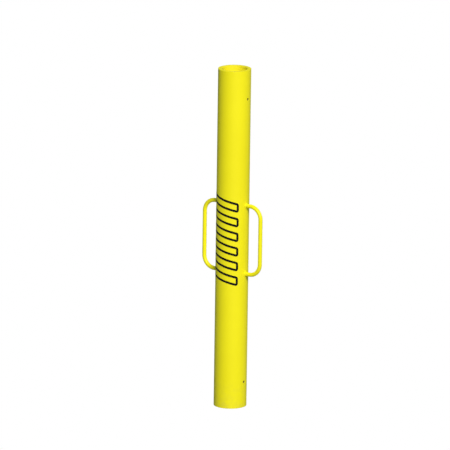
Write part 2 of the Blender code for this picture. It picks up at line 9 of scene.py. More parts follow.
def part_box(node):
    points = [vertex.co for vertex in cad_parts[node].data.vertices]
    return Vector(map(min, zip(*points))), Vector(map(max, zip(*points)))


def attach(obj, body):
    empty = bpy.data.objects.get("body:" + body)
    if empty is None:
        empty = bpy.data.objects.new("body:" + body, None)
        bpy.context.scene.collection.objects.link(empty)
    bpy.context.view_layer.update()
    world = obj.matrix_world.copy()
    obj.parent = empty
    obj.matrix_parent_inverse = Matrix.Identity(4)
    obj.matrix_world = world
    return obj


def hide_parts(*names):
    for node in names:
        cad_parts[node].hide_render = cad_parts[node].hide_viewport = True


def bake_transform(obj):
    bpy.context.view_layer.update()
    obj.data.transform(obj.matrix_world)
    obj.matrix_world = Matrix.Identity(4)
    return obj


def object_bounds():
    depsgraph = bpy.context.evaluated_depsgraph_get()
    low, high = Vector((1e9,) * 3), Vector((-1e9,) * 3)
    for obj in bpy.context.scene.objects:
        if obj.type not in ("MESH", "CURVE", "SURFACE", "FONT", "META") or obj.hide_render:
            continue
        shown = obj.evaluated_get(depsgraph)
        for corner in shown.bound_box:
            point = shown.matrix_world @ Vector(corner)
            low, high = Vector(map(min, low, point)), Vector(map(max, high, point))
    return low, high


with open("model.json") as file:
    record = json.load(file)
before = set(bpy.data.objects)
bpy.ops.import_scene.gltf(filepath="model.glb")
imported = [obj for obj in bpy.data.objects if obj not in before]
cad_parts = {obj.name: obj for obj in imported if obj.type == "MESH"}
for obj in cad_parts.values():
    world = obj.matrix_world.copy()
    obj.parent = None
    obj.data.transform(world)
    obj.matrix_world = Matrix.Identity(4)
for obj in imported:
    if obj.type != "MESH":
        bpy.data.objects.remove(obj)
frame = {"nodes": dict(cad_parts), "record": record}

cad_low, cad_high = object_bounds()
scene = bpy.context.scene


# The studio: a floor that the camera sees as plain white, a wide key light a little to the right of the
# camera, a soft light overhead, a wide one behind, and a long lens that looks a little down.
def node_adder(tree):
    """The function that adds nodes to this tree: a socket is linked where it gets another socket, and set
    otherwise."""

    def add(kind, sockets=None, **settings):
        node = tree.nodes.new(kind) if isinstance(kind, str) else kind
        for key, value in settings.items():
            setattr(node, key, value)
        for key, value in (sockets or {}).items():
            if isinstance(value, bpy.types.NodeSocket):
                tree.links.new(value, node.inputs[key])
            else:
                node.inputs[key].default_value = value
        return node

    return add


def facing(azimuth, elevation):
    """The direction from the object towards an azimuth and elevation, in degrees. Azimuth 0 is -Y."""
    turn, rise = radians(azimuth), radians(elevation)
    return Vector((sin(turn) * cos(rise), -cos(turn) * cos(rise), sin(rise)))


centre = (cad_low + cad_high) / 2

camera_azimuth, camera_elevation, camera_roll = 35.3, 13.9, 0.795
camera_lens, camera_sensor = 600.0, 36.0
frame_width = 1.3855  # metres across the view at the object
aim_left, aim_up = 0.0230, 0.0376  # the view's middle, from the object's
toward = facing(camera_azimuth, camera_elevation)
right = Vector((cos(radians(camera_azimuth)), sin(radians(camera_azimuth)), 0))
up = toward.cross(right)
aim = centre - right * aim_left + up * aim_up
camera_data = bpy.data.cameras.new("camera")
camera_data.lens = camera_lens
camera_data.sensor_width = camera_sensor
camera_data.clip_end = 200
camera = bpy.data.objects.new("camera", camera_data)
scene.collection.objects.link(camera)
turn_to = Matrix((right, up, toward)).transposed().to_4x4()
stand = Matrix.Translation(aim + toward * frame_width * camera_lens / camera_sensor)
camera.matrix_world = stand @ turn_to @ Matrix.Rotation(radians(camera_roll), 4, "Z")
scene.camera = camera
scene.view_settings.view_transform = "Standard"

for label, size, power, azimuth, elevation, away, tint in (
    ("key_light", 11.4, 15700.0, camera_azimuth + 14, 35, 40.0, (1.0, 0.953, 0.94)),
    ("top_light", 8.0, 200.0, camera_azimuth + 20, 80, 20.0, (1.0, 0.98, 0.95)),
    ("back_light", 11.4, 6500.0, camera_azimuth + 180, 24, 40.0, (0.96, 1.0, 0.95)),
):
    lamp_data = bpy.data.lights.new(label, "AREA")
    lamp_data.size = size
    lamp_data.energy = power
    lamp_data.color = tint
    lamp = bpy.data.objects.new(label, lamp_data)
    lamp.visible_camera = False
    lamp.visible_glossy = label != "back_light"
    direction = facing(azimuth, elevation)
    lamp.location = centre + direction * away
    lamp.rotation_euler = direction.to_track_quat("Z", "Y").to_euler()
    scene.collection.objects.link(lamp)

room = bpy.data.worlds.new("room")
room.use_nodes = True
scene.world = room
add = node_adder(room.node_tree)
seen = add("ShaderNodeLightPath").outputs["Is Camera Ray"]
tint = add("ShaderNodeMix", {0: seen, 6: (0.76, 1.0, 0.88, 1), 7: (1, 1, 1, 1)}, data_type="RGBA")
strength = add("ShaderNodeMapRange", {"Value": seen, "To Min": 0.185, "To Max": 1.0})
add(room.node_tree.nodes["Background"], {"Color": tint.outputs[2], "Strength": strength.outputs[0]})

floor_mesh = bpy.data.meshes.new("floor")
floor_half, floor_drop = 40, 0.0003
corners = [(floor_half * x, floor_half * y, -floor_drop) for x, y in ((-1, -1), (1, -1), (1, 1), (-1, 1))]
floor_mesh.from_pydata(corners, [], [(0, 1, 2, 3)])
floor = bpy.data.objects.new("floor", floor_mesh)
scene.collection.objects.link(floor)
floor_paint = bpy.data.materials.new("floor_paint")
floor_paint.use_nodes = True
floor_paint.node_tree.nodes.clear()
add = node_adder(floor_paint.node_tree)
dull = add("ShaderNodeBsdfDiffuse", {"Color": (0.30, 0.31, 0.29, 1)}).outputs[0]
bright = add("ShaderNodeEmission", {"Color": (1, 1, 1, 1), "Strength": 1.0}).outputs[0]
clear = add("ShaderNodeBsdfTransparent").outputs[0]
below = add("ShaderNodeNewGeometry").outputs["Backfacing"]
shown = add("ShaderNodeMixShader", {0: below, 1: bright, 2: clear}).outputs[0]
seen = add("ShaderNodeLightPath").outputs["Is Camera Ray"]
mixed_floor = add("ShaderNodeMixShader", {0: seen, 1: dull, 2: shown}).outputs[0]
add("ShaderNodeOutputMaterial", {"Surface": mixed_floor})
floor_mesh.materials.append(floor_paint)


# The outer post: a thick-walled steel tube, sawn square at both ends, deburred, and powder coated bright
# yellow inside and out once its handles are welded on. The lock holes are drilled last, and their walls get
# painted shade: a dark olive that stands for the shade inside them.
def eased(outline, radius, steps=4, closed=True):
    """The outline with its corners rounded. A point stays close to each curve, so that long flat faces
    shade flat."""
    points = []
    for i, corner in enumerate(outline):
        corner = Vector(corner)
        if not closed and i in (0, len(outline) - 1):
            points.append(corner)
            continue
        before = Vector(outline[i - 1]) - corner
        after = Vector(outline[(i + 1) % len(outline)]) - corner
        reach = min(radius, before.length * 0.3, after.length * 0.3)
        start, end = corner + before.normalized() * reach, corner + after.normalized() * reach
        points.append(corner + before.normalized() * reach * 1.5)
        for k in range(steps + 1):
            t = k / steps
            points.append((1 - t) ** 2 * start + 2 * t * (1 - t) * corner + t * t * end)
        points.append(corner + after.normalized() * reach * 1.5)
    return points


def turned(name, profile, sides=192):
    """A closed turned mesh from (radius, height) points. It is closed at the axis where the profile starts
    and ends there. A point's third number makes its ring a polygon with that many flats."""
    bm = bmesh.new()
    rings = []
    for point in profile:
        radius, height, flats = point[0], point[1], point[2] if len(point) > 2 else 0
        if radius < 1e-7:
            rings.append([bm.verts.new((0, 0, height))])
            continue
        ring = []
        for k in range(sides):
            angle = tau * k / sides
            reach = radius / cos(angle % (tau / flats) - pi / flats) if flats else radius
            ring.append(bm.verts.new((reach * cos(angle), reach * sin(angle), height)))
        rings.append(ring)
    open_ended = len(rings[0]) == 1 and len(rings[-1]) == 1
    for upper, lower in zip(rings, rings[1:] if open_ended else rings[1:] + rings[:1]):
        for k in range(sides):
            n = (k + 1) % sides
            face = [upper[k % len(upper)], lower[k % len(lower)]]
            face += [lower[n % len(lower)], upper[n % len(upper)]]
            bm.faces.new(list(dict.fromkeys(face)))
    mesh = bpy.data.meshes.new(name)
    bm.to_mesh(mesh)
    bm.free()
    return mesh


def radial(angle, height):
    """Turns a shape made along +Z to point out from the post's axis, at an angle round it and at a height."""
    outwards = Matrix.Rotation(angle, 4, "Z") @ Matrix.Rotation(pi / 2, 4, "Y")
    return Matrix.Translation((0, 0, height)) @ outwards


def bored(mesh, tools):
    """The mesh with every tool's shape taken out of it. The tools are (mesh, place) pairs."""
    work = bpy.data.objects.new(mesh.name, mesh)
    scene.collection.objects.link(work)
    helpers = []
    for shape, place in tools:
        tool = bpy.data.objects.new("tool", shape)
        tool.matrix_world = place
        scene.collection.objects.link(tool)
        helpers.append(tool)
        boolean = work.modifiers.new("bore", "BOOLEAN")
        boolean.solver = "EXACT"
        boolean.object = tool
    result = read(work)
    for tool in helpers:
        bpy.data.objects.remove(tool, do_unlink=True)
    return result


def read(obj):
    """The plain mesh that an object's modifiers make. The object itself goes."""
    bpy.context.view_layer.update()
    graph = bpy.context.evaluated_depsgraph_get()
    made = obj.evaluated_get(graph)
    mesh = bpy.data.meshes.new_from_object(made, preserve_all_data_layers=True, depsgraph=graph)
    bpy.data.objects.remove(obj, do_unlink=True)
    return mesh


def finished(name, mesh, finish=None, sharp=35):
    """Adds a mesh to the scene as a clean closed piece: doubles merged, faces outwards, smooth but for its
    edges."""
    bm = bmesh.new()
    bm.from_mesh(mesh)
    bmesh.ops.remove_doubles(bm, verts=bm.verts, dist=0.000002)
    bmesh.ops.dissolve_degenerate(bm, edges=bm.edges, dist=0.000001)
    bmesh.ops.recalc_face_normals(bm, faces=bm.faces)
    bm.to_mesh(mesh)
    bm.free()
    if finish:
        mesh.materials.clear()
        mesh.materials.append(finish)
    mesh.shade_smooth()
    mesh.set_sharp_from_angle(angle=radians(sharp))
    made = bpy.data.objects.new(name, mesh)
    scene.collection.objects.link(made)
    return made


def shader(name):
    """A new material, the function that adds its nodes, and its Object coordinates."""
    made = bpy.data.materials.new(name)
    made.use_nodes = True
    add = node_adder(made.node_tree)
    return made, add, add("ShaderNodeTexCoord").outputs["Object"]


def surface(made, add, sockets):
    """Sets or links these sockets of a material's own shader."""
    add(made.node_tree.nodes["Principled BSDF"], sockets)


def vector(add, x=0.0, y=0.0, z=0.0):
    """A vector from numbers or sockets."""
    return add("ShaderNodeCombineXYZ", {0: x, 1: y, 2: z}).outputs[0]


def parts_of(add, where):
    """The x, y and z of a vector."""
    return add("ShaderNodeSeparateXYZ", {0: where}).outputs


def distance(add, x, y):
    """How far (x, y) lies from the origin."""
    return add("ShaderNodeVectorMath", {0: vector(add, x, y)}, operation="LENGTH").outputs["Value"]


def ranged(add, value, low, high, to_low=0.0, to_high=1.0):
    """A value's range mapped to another and clamped."""
    sockets = {"Value": value, "From Min": low, "From Max": high, "To Min": to_low, "To Max": to_high}
    return add("ShaderNodeMapRange", sockets).outputs[0]


def grain(add, where, size, detail=2.0, low=0.35, high=0.65):
    """Noise from 0 to 1 whose blotches are about this size, in metres."""
    noise = add("ShaderNodeTexNoise", {"Vector": where, "Scale": 1 / size, "Detail": detail}).outputs[0]
    return ranged(add, noise, low, high)


def tinted(add, share, low, high):
    """Two colours mixed by a share from 0 to 1."""
    return add("ShaderNodeMix", {0: share, 6: (*low, 1), 7: (*high, 1)}, data_type="RGBA").outputs[2]


def over(add, share, under, top):
    """A colour laid over another socket's colour by a share from 0 to 1."""
    return add("ShaderNodeMix", {0: share, 6: under, 7: (*top, 1)}, data_type="RGBA").outputs[2]


def times(add, first, second, operation="MULTIPLY"):
    """Two masks multiplied, or put together by another operation, and kept between 0 and 1."""
    return add("ShaderNodeMath", {0: first, 1: second}, operation=operation, use_clamp=True).outputs[0]


def bumped(add, height, depth, strength=1.0, under=None):
    """A normal that a height from 0 to 1 raises by this depth, on top of another normal where one is
    given."""
    sockets = {"Height": height, "Distance": depth, "Strength": strength}
    if under is not None:
        sockets["Normal"] = under
    return add("ShaderNodeBump", sockets).outputs[0]


def middle(node, axis=2):
    """The middle of a fitted solid along one axis: its height, where no axis is given."""
    low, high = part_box(node)
    return (low[axis] + high[axis]) / 2


post_low, post_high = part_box("outer_tube")
post_radius, post_top = post_high.x, post_high.z
post_wall = 0.00635
bore_radius = post_radius - post_wall
gap = 0.0003  # left between pieces that are fitted together

lock_hole_radius = 0.004
joints = {joint["name"]: joint for joint in frame["record"]["behaviour"]["joints"]}
lower_lock = middle("lock_plunger")
upper_lock = lower_lock + joints["post_rise"]["range_m"][1]
rivet_angle, rivet_radius = pi, 0.0024
rivet_heights = [middle(f"rail_rivet_{i}") for i in range(1, 6)]
grub_radius, grub_angles = 0.003, (radians(75), radians(165))
bush_grub_height, base_grub_height = middle("bush_screw_1"), middle("base_screw_1")


def coated(name, light, deep, roughness, worn_low, worn_high, hole_shade=None):
    """Powder paint on steel: cloudy by a few percent, with orange peel. It is chipped to the primer in places
    along the sharp edges of its two ends, and carries painted shade, a dark olive, where the hole shade mask
    is 1."""
    coat, add, where = shader(name)
    cloud = grain(add, where, 0.11, 3.0)
    speck = grain(add, where, 0.0022, 2.0)
    x, y, along = parts_of(add, where)
    low_end = ranged(add, along, worn_low, worn_low + 0.0030, 1.0, 0.0)
    high_end = ranged(add, along, worn_high - 0.0012, worn_high - 0.0004, 0.0, 1.0)
    arris = ranged(add, distance(add, x, y), post_radius - 0.0008, post_radius - 0.0002)
    ends = times(add, times(add, low_end, high_end, "MAXIMUM"), arris)
    chips = times(add, ends, grain(add, where, 0.0045, 5.0, 0.63, 0.66))
    near_ground = ranged(add, along, worn_low, worn_low + 0.09, 1.0, 0.0)
    dust = times(add, near_ground, grain(add, where, 0.018, 5.0, 0.42, 0.7))
    # The dark olive of the lock hole walls is painted shade, standing for the shade inside the holes.
    dust_brown, primer_grey, hole_shade_colour = (0.30, 0.26, 0.16), (0.17, 0.17, 0.16), (0.24, 0.215, 0.035)
    colour = tinted(add, cloud, deep, light)
    colour = over(add, times(add, dust, 0.16), colour, dust_brown)
    colour = over(add, chips, colour, primer_grey)
    # Painted shade: the walls of the two lock holes are darkened to the olive so that they look shaded.
    if hole_shade:
        colour = over(add, hole_shade(add, where), colour, hole_shade_colour)
    peel = bumped(add, grain(add, where, 0.0016, 1.0), 0.00005, 0.35)
    peel = bumped(add, chips, -0.00012, 1.0, peel)
    gloss = ranged(add, speck, 0.0, 1.0, roughness - 0.04, roughness + 0.05)
    surface(coat, add, {"Base Color": colour, "Roughness": gloss, "Normal": peel, "Specular IOR Level": 0.32})
    return coat


def shaded_hole_walls(add, where):
    """1 on the walls of the two lock holes, where a dark olive painted shade goes."""
    x, y, z = parts_of(add, where)
    under_face = ranged(add, x, post_radius - 0.0006, post_radius - 0.0004, 1.0, 0.0)
    walls = []
    for height in (lower_lock, upper_lock):
        level = add("ShaderNodeMath", {0: z, 1: height}, operation="SUBTRACT").outputs[0]
        reach = distance(add, y, level)
        walls.append(ranged(add, reach, lock_hole_radius + 0.0001, lock_hole_radius + 0.0002, 1.0, 0.0))
    right_half = ranged(add, x, 0.0, 0.001)
    return times(add, times(add, walls[0], walls[1], "MAXIMUM"), times(add, under_face, right_half))


light_yellow, deep_yellow = (0.955, 0.872, 0.008), (0.930, 0.842, 0.007)
# This paint darkens the lock hole walls with painted shade.
yellow_paint = coated(
    "yellow_paint", light_yellow, deep_yellow, 0.46, post_low.z, post_top, shaded_hole_walls
)

square_ends = [(post_radius, post_top), (post_radius, 0), (bore_radius, 0), (bore_radius, post_top)]
outline = eased(square_ends, 0.0005)
hole_margin = 0.008  # a ring this far above and below each hole keeps the long faces clean
hole_heights = [lower_lock, upper_lock, *rivet_heights, bush_grub_height]
levels = sorted({z + side * hole_margin for z in hole_heights for side in (-1, 1)})
middle_of_wall = post_radius - post_wall / 2
outside = [point for point in outline if point.x > middle_of_wall]
inside = [point for point in outline if point.x < middle_of_wall]
top_edge = [point for point in outside if point.y > post_top / 2]
low_edge = [point for point in outside if point.y < post_top / 2]
bore_low = [point for point in inside if point.y < post_top / 2]
bore_top = [point for point in inside if point.y > post_top / 2]
profile = (
    top_edge
    + [(post_radius, z) for z in reversed(levels)]
    + low_edge
    + bore_low
    + [(bore_radius, z) for z in levels]
    + bore_top
)


def drill(radius, start, end, bevel=0.0005, face=post_radius):
    """A drill along +Z that leaves a small bevel where it breaks into the post's face."""
    profile = [
        (0, end),
        (radius + bevel + end - face, end),
        (radius, face - bevel),
        (radius, start),
        (0, start),
    ]
    return turned("drill", profile, sides=64)


drill_start, drill_end = bore_radius - 0.004, post_radius + 0.001
lock_drill = drill(lock_hole_radius, drill_start, drill_end)
rivet_drill = drill(rivet_radius + gap, drill_start, drill_end, 0.0001)
grub_drill = drill(grub_radius + gap, drill_start, drill_end, 0.0004)
holes = [(lock_drill, radial(0, z)) for z in (lower_lock, upper_lock)]
holes += [(rivet_drill, radial(rivet_angle, z)) for z in rivet_heights]
holes += [(grub_drill, radial(a, z)) for a in grub_angles for z in (bush_grub_height, base_grub_height)]
outer_post = finished("outer_post_tube", bored(turned("outer_post_tube", profile), holes), yellow_paint)
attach(outer_post, "outer_post")
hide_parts("outer_tube")


# The carrying handles: half-inch round bar bent twice to a D, its ends coped to fit the post at mid-length.
# They are coated with the post, and hands keep the grips a little smoother.
def geometry_tree(name, inputs):
    """A Geometry Nodes tree with these named inputs. Gives the tree, its node adder and its inputs by
    name."""
    tree = bpy.data.node_groups.new(name, "GeometryNodeTree")
    tree.interface.new_socket("Geometry", in_out="INPUT", socket_type="NodeSocketGeometry")
    for label, kind in inputs.items():
        tree.interface.new_socket(label, in_out="INPUT", socket_type="NodeSocket" + kind)
    tree.interface.new_socket("Geometry", in_out="OUTPUT", socket_type="NodeSocketGeometry")
    add = node_adder(tree)
    return tree, add, add("NodeGroupInput").outputs


def close_tree(add, made, finish):
    """Ends a tree: instances made real, the material set, and the result sent out."""
    real = add("GeometryNodeRealizeInstances", {"Geometry": made}).outputs[0]
    coated_shape = add("GeometryNodeSetMaterial", {"Geometry": real, "Material": finish}).outputs[0]
    add("NodeGroupOutput", {0: coated_shape})


def grown(name, tree, values, start=None):
    """The plain mesh that a tree makes from these inputs, and from a start mesh where it has one."""
    carrier = bpy.data.objects.new(name, start or bpy.data.meshes.new(name))
    scene.collection.objects.link(carrier)
    modifier = carrier.modifiers.new(name, "NODES")
    modifier.node_group = tree
    for item in tree.interface.items_tree:
        if item.in_out == "INPUT" and item.name in values:
            modifier[item.identifier] = values[item.name]
    return read(carrier)


def path(name, points, bends, closed=False):
    """A path mesh whose points carry the radius that the rod is bent to there."""
    mesh = bpy.data.meshes.new(name)
    edges = [(i, i + 1) for i in range(len(points) - 1)] + ([(len(points) - 1, 0)] if closed else [])
    mesh.from_pydata(points, edges, [])
    mesh.attributes.new("bend_radius", "FLOAT", "POINT").data.foreach_set("value", bends)
    return mesh


def swept(add, line, radius, sides, more):
    """A round rod of this radius along a curve. More sockets of the node can be set or linked."""
    section = add("GeometryNodeCurvePrimitiveCircle", {"Resolution": sides, "Radius": radius}).outputs[0]
    return add("GeometryNodeCurveToMesh", {"Curve": line, "Profile Curve": section, **more}).outputs[0]


bent_rod, add, sizes = geometry_tree(
    "bent_rod", {"Rod Radius": "Float", "Rod Sides": "Int", "Bend Steps": "Int", "Finish": "Material"}
)
bend = add("GeometryNodeInputNamedAttribute", {"Name": "bend_radius"}, data_type="FLOAT").outputs[0]
line = add("GeometryNodeMeshToCurve", {"Mesh": sizes["Geometry"]}).outputs[0]
bent = add(
    "GeometryNodeFilletCurve",
    {"Curve": line, "Count": sizes["Bend Steps"], "Radius": bend, "Limit Radius": True},
    mode="POLY",
).outputs[0]
rod = swept(add, bent, sizes["Rod Radius"], sizes["Rod Sides"], {"Fill Caps": True})
close_tree(add, rod, sizes["Finish"])

handle_low, handle_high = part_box("handle_right")
handle_rod = handle_high.y
grip_reach = handle_high.x - handle_rod
grip_middle = middle("handle_right")
leg_rise = (handle_high.z - handle_low.z) / 2 - handle_rod
handle_bend = 0.0381

no_end_low, no_end_high = -1.0, 2.0  # the handles have no bare ends to chip
handle_paint = coated(
    "handle_paint", (0.985, 0.915, 0.012), (0.965, 0.890, 0.009), 0.42, no_end_low, no_end_high
)
handle_path = [
    (bore_radius, 0, grip_middle + leg_rise),
    (grip_reach, 0, grip_middle + leg_rise),
    (grip_reach, 0, grip_middle - leg_rise),
    (bore_radius, 0, grip_middle - leg_rise),
]
cope_radius, cope_low, cope_high = post_radius + 0.00005, 0.2, 0.8
cope = turned("cope", [(0, cope_high), (cope_radius, cope_high), (cope_radius, cope_low), (0, cope_low)])
for side, turn in (("right", 0.0), ("left", pi)):
    values = {"Rod Radius": handle_rod, "Rod Sides": 40, "Bend Steps": 24, "Finish": handle_paint}
    rod = grown("handle", bent_rod, values, path("handle", handle_path, [0, handle_bend, handle_bend, 0]))
    rod.transform(Matrix.Rotation(turn, 4, "Z"))
    handle = finished(f"carry_handle_{side}", bored(rod, [(cope, Matrix.Identity(4))]), handle_paint)
    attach(handle, "outer_post")
    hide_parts(f"handle_{side}")


# The handle welds: a fillet weld runs all the way round each leg, where it sits on the curved post. The
# ripples of the weld pool still show through the paint.
def reckon(add, operation, first, second=0.0):
    """One step of arithmetic on a tree's sockets."""
    return add("ShaderNodeMath", {0: first, 1: second}, operation=operation).outputs[0]


def points_up_the_axis(add, count, height):
    """This many points on the post's axis. The height is worked out for each."""
    row = add("GeometryNodeMeshLine", {"Count": count, "Offset": (0, 0, 0)}).outputs[0]
    return add("GeometryNodeSetPosition", {0: row, "Position": vector(add, z=height)}).outputs[0]


def copies(add, points, shape, angles):
    """A copy of the shape on every point, turned by a vector of three angles."""
    turn = add("FunctionNodeEulerToRotation", {0: angles}).outputs[0]
    sockets = {"Points": points, "Instance": shape, "Rotation": turn}
    return add("GeometryNodeInstanceOnPoints", sockets).outputs[0]


weld_beads, add, sizes = geometry_tree(
    "weld_beads",
    {
        "Post Radius": "Float",
        "Ring Radius": "Float",
        "Bead Radius": "Float",
        "Ripples": "Int",
        "Ripple Depth": "Float",
        "Middle Height": "Float",
        "Leg Rise": "Float",
        "Finish": "Material",
    },
)
ring = add("GeometryNodeCurvePrimitiveCircle", {"Resolution": 216, "Radius": sizes["Ring Radius"]}).outputs[0]
x, y, z = parts_of(add, add("GeometryNodeInputPosition").outputs[0])
square = reckon(add, "MULTIPLY", sizes["Post Radius"], sizes["Post Radius"])
out = reckon(add, "SQRT", reckon(add, "SUBTRACT", square, reckon(add, "MULTIPLY", x, x)))
saddle = vector(add, out, x, y)
laid = add("GeometryNodeSetPosition", {"Geometry": ring, "Position": saddle}).outputs[0]
step = add("GeometryNodeSplineParameter").outputs["Factor"]
wave = reckon(add, "SINE", reckon(add, "MULTIPLY", reckon(add, "MULTIPLY", step, sizes["Ripples"]), pi))
ripple = reckon(add, "MULTIPLY", reckon(add, "ABSOLUTE", wave), sizes["Ripple Depth"])
wander = add("ShaderNodeTexNoise", {"Scale": 260.0, "Detail": 1.0}).outputs[0]
swell = reckon(add, "ADD", reckon(add, "ADD", ripple, 0.86), reckon(add, "MULTIPLY", wander, 0.16))
bead = swept(add, laid, sizes["Bead Radius"], 20, {"Scale": swell})
index = add("GeometryNodeInputIndex").outputs[0]
other_side = reckon(add, "MULTIPLY", reckon(add, "MODULO", index, 2), pi)
upper = reckon(add, "SUBTRACT", reckon(add, "MULTIPLY", reckon(add, "GREATER_THAN", index, 1.5), 2), 1)
height = reckon(add, "ADD", sizes["Middle Height"], reckon(add, "MULTIPLY", upper, sizes["Leg Rise"]))
beads = copies(add, points_up_the_axis(add, 4, height), bead, vector(add, z=other_side))
close_tree(add, beads, sizes["Finish"])

values = {
    "Post Radius": post_radius + gap,
    "Ring Radius": handle_rod + 0.0004,
    "Bead Radius": 0.0017,
    "Ripples": 34,
    "Ripple Depth": 0.12,
    "Middle Height": grip_middle,
    "Leg Rise": leg_rise,
    "Finish": handle_paint,
}
welds = finished("handle_weld_beads", grown("welds", weld_beads, values), handle_paint, sharp=60)
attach(welds, "outer_post")
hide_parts(*[f"handle_weld_{i}" for i in range(1, 5)])


# The guide bush: a turned collar of yellow acetal in the mouth of the post, with a lead-in at the top and a
# groove for the wiper. Grub screws through the post hold it.
def lathe_lines(add, where, pitch):
    """Fine rings from 0 to 1, as a turning tool leaves them on a face and along a bore."""
    x, y, z = parts_of(add, where)
    along = reckon(add, "ADD", distance(add, x, y), reckon(add, "MULTIPLY", z, 0.7))
    wave = reckon(add, "SINE", reckon(add, "MULTIPLY", along, tau / pitch))
    return ranged(add, wave, -1.0, 1.0)


bush_plastic, add, where = shader("bush_plastic")
lines = lathe_lines(add, where, 0.00035)
colour = tinted(add, grain(add, where, 0.02, 3.0), (0.930, 0.810, 0.012), (0.960, 0.850, 0.018))
scuff = times(add, grain(add, where, 0.0012, 5.0, 0.60, 0.70), grain(add, where, 0.012, 1.0))
colour = over(add, times(add, scuff, 0.35), colour, (0.98, 0.95, 0.55))
surface(
    bush_plastic,
    add,
    {
        "Base Color": colour,
        "Roughness": ranged(add, grain(add, where, 0.004), 0.0, 1.0, 0.42, 0.52),
        "Normal": bumped(add, lines, 0.00001, 0.5),
        "Specular IOR Level": 0.4,
    },
)

bush_low, bush_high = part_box("top_guide_bush")
wiper_low, wiper_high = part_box("wiper_ring")
bush_bore = 0.0386
lead_in = 0.0012
bush_profile = [
    (bush_high.x, post_top),
    (bush_high.x, bush_low.z),
    (bush_bore, bush_low.z),
    (bush_bore, wiper_low.z - gap),
    (wiper_high.x + gap, wiper_low.z - gap),
    (wiper_high.x + gap, wiper_high.z + gap),
    (bush_bore, wiper_high.z + gap),
    (bush_bore, post_top - lead_in),
    (bush_bore + lead_in, post_top),
]
bush_mesh = turned("guide_bush", eased(bush_profile, 0.0003))
bush_holes = [(grub_drill, radial(a, bush_grub_height)) for a in grub_angles]
bush = finished("guide_bush", bored(bush_mesh, bush_holes), bush_plastic)
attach(bush, "outer_post")
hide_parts("top_guide_bush")


# The wiper: a moulded rubber ring in the bush's groove. Its soft lip rubs the inner post dry and keeps grit
# out.
black_rubber, add, where = shader("black_rubber")
bloom = grain(add, where, 0.012, 5.0, 0.45, 0.75)
colour = tinted(add, bloom, (0.014, 0.014, 0.014), (0.045, 0.044, 0.042))
pores = grain(add, where, 0.0005, 2.0)
surface(
    black_rubber,
    add,
    {
        "Base Color": colour,
        "Roughness": ranged(add, bloom, 0.0, 1.0, 0.72, 0.90),
        "Normal": bumped(add, pores, 0.00004, 0.5),
        "Specular IOR Level": 0.3,
    },
)

lip = bush_bore - 0.0002
wiper_middle = middle("wiper_ring")
wiper_profile = [
    (wiper_high.x, wiper_high.z),
    (wiper_high.x, wiper_low.z),
    (lip + 0.0006, wiper_low.z),
    (lip + 0.0006, wiper_middle - 0.0004),
    (lip, wiper_middle + 0.0006),
    (lip, wiper_middle + 0.0012),
    (lip + 0.0008, wiper_high.z),
]
wiper = finished("wiper_seal", turned("wiper_seal", eased(wiper_profile, 0.0003)), black_rubber)
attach(wiper, "outer_post")
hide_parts("wiper_ring")


# The grub screws: zinc-plated socket screws, two through the post into the bush and two into the base plug.
# They sit just under the post's face.
def any_turn(add, index, seed):
    """A random angle for each point, so that no two sockets line up."""
    sockets = {2: 0.0, 3: tau, "ID": index, "Seed": seed}
    return add("FunctionNodeRandomValue", sockets, data_type="FLOAT").outputs[1]


round_the_post, add, sizes = geometry_tree(
    "fasteners_round_the_post",
    {
        "Fastener": "Object",
        "Count": "Int",
        "First Angle": "Float",
        "Angle Step": "Float",
        "First Height": "Float",
        "Height Step": "Float",
        "Seed": "Int",
        "Finish": "Material",
    },
)
index = add("GeometryNodeInputIndex").outputs[0]
angle = reckon(add, "ADD", sizes["First Angle"], reckon(add, "MULTIPLY", index, sizes["Angle Step"]))
height = reckon(add, "ADD", sizes["First Height"], reckon(add, "MULTIPLY", index, sizes["Height Step"]))
spin = any_turn(add, index, sizes["Seed"])
shape = add("GeometryNodeObjectInfo", {"Object": sizes["Fastener"]}).outputs["Geometry"]
spots = points_up_the_axis(add, sizes["Count"], height)
set_round = copies(add, spots, shape, vector(add, x=spin, z=angle))
close_tree(add, set_round, sizes["Finish"])


def fasteners(name, shape, finish, height, seed, count, first, step=0.0, rise=0.0):
    """A set of the same fastener round the post, from one shape along +Z with its height from the post's
    axis. Each is a step round from the last, and a rise above it."""
    shape.transform(Matrix.Rotation(pi / 2, 4, "Y"))
    pattern = bpy.data.objects.new("pattern", shape)
    values = {
        "Fastener": pattern,
        "Count": count,
        "First Angle": first,
        "Angle Step": step,
        "First Height": height,
        "Height Step": rise,
        "Seed": seed,
        "Finish": finish,
    }
    mesh = grown(name, round_the_post, values)
    bpy.data.objects.remove(pattern, do_unlink=True)
    return finished(name, mesh, finish)


zinc_steel, add, where = shader("zinc_steel")
cells = add("ShaderNodeTexVoronoi", {"Vector": where, "Scale": 900.0}).outputs["Color"]
shade = add("ShaderNodeSeparateColor", {0: cells}).outputs[0]
colour = tinted(add, grain(add, where, 0.003, 4.0), (0.56, 0.57, 0.58), (0.72, 0.72, 0.69))
surface(
    zinc_steel,
    add,
    {
        "Base Color": colour,
        "Metallic": 1.0,
        "Roughness": ranged(add, shade, 0.0, 1.0, 0.28, 0.42),
        "Normal": bumped(add, grain(add, where, 0.0006), 0.00001, 0.6),
    },
)

socket_half, socket_depth = 0.0017, 0.003
grub_face = post_radius - gap


def grub_profile(tip):
    """A grub screw from its hexagon socket to its cup point, with the turns of its thread."""
    profile = [(0, grub_face - socket_depth - 0.0006), (socket_half, grub_face - socket_depth, 6)]
    profile += [(socket_half, grub_face - 0.0002, 6), (socket_half + 0.0005, grub_face)]
    profile += [(grub_radius - 0.0005, grub_face)]
    root, pitch, turns = grub_radius - 0.0004, 0.001, 5
    for k in range(turns):
        crest = grub_face - 0.0005 - k * pitch
        profile += [(grub_radius, crest), (grub_radius, crest - 0.0002), (root, crest - 0.0006)]
    profile += [(root, tip + 0.0008), (grub_radius - 0.001, tip), (0, tip + 0.0008)]
    return profile


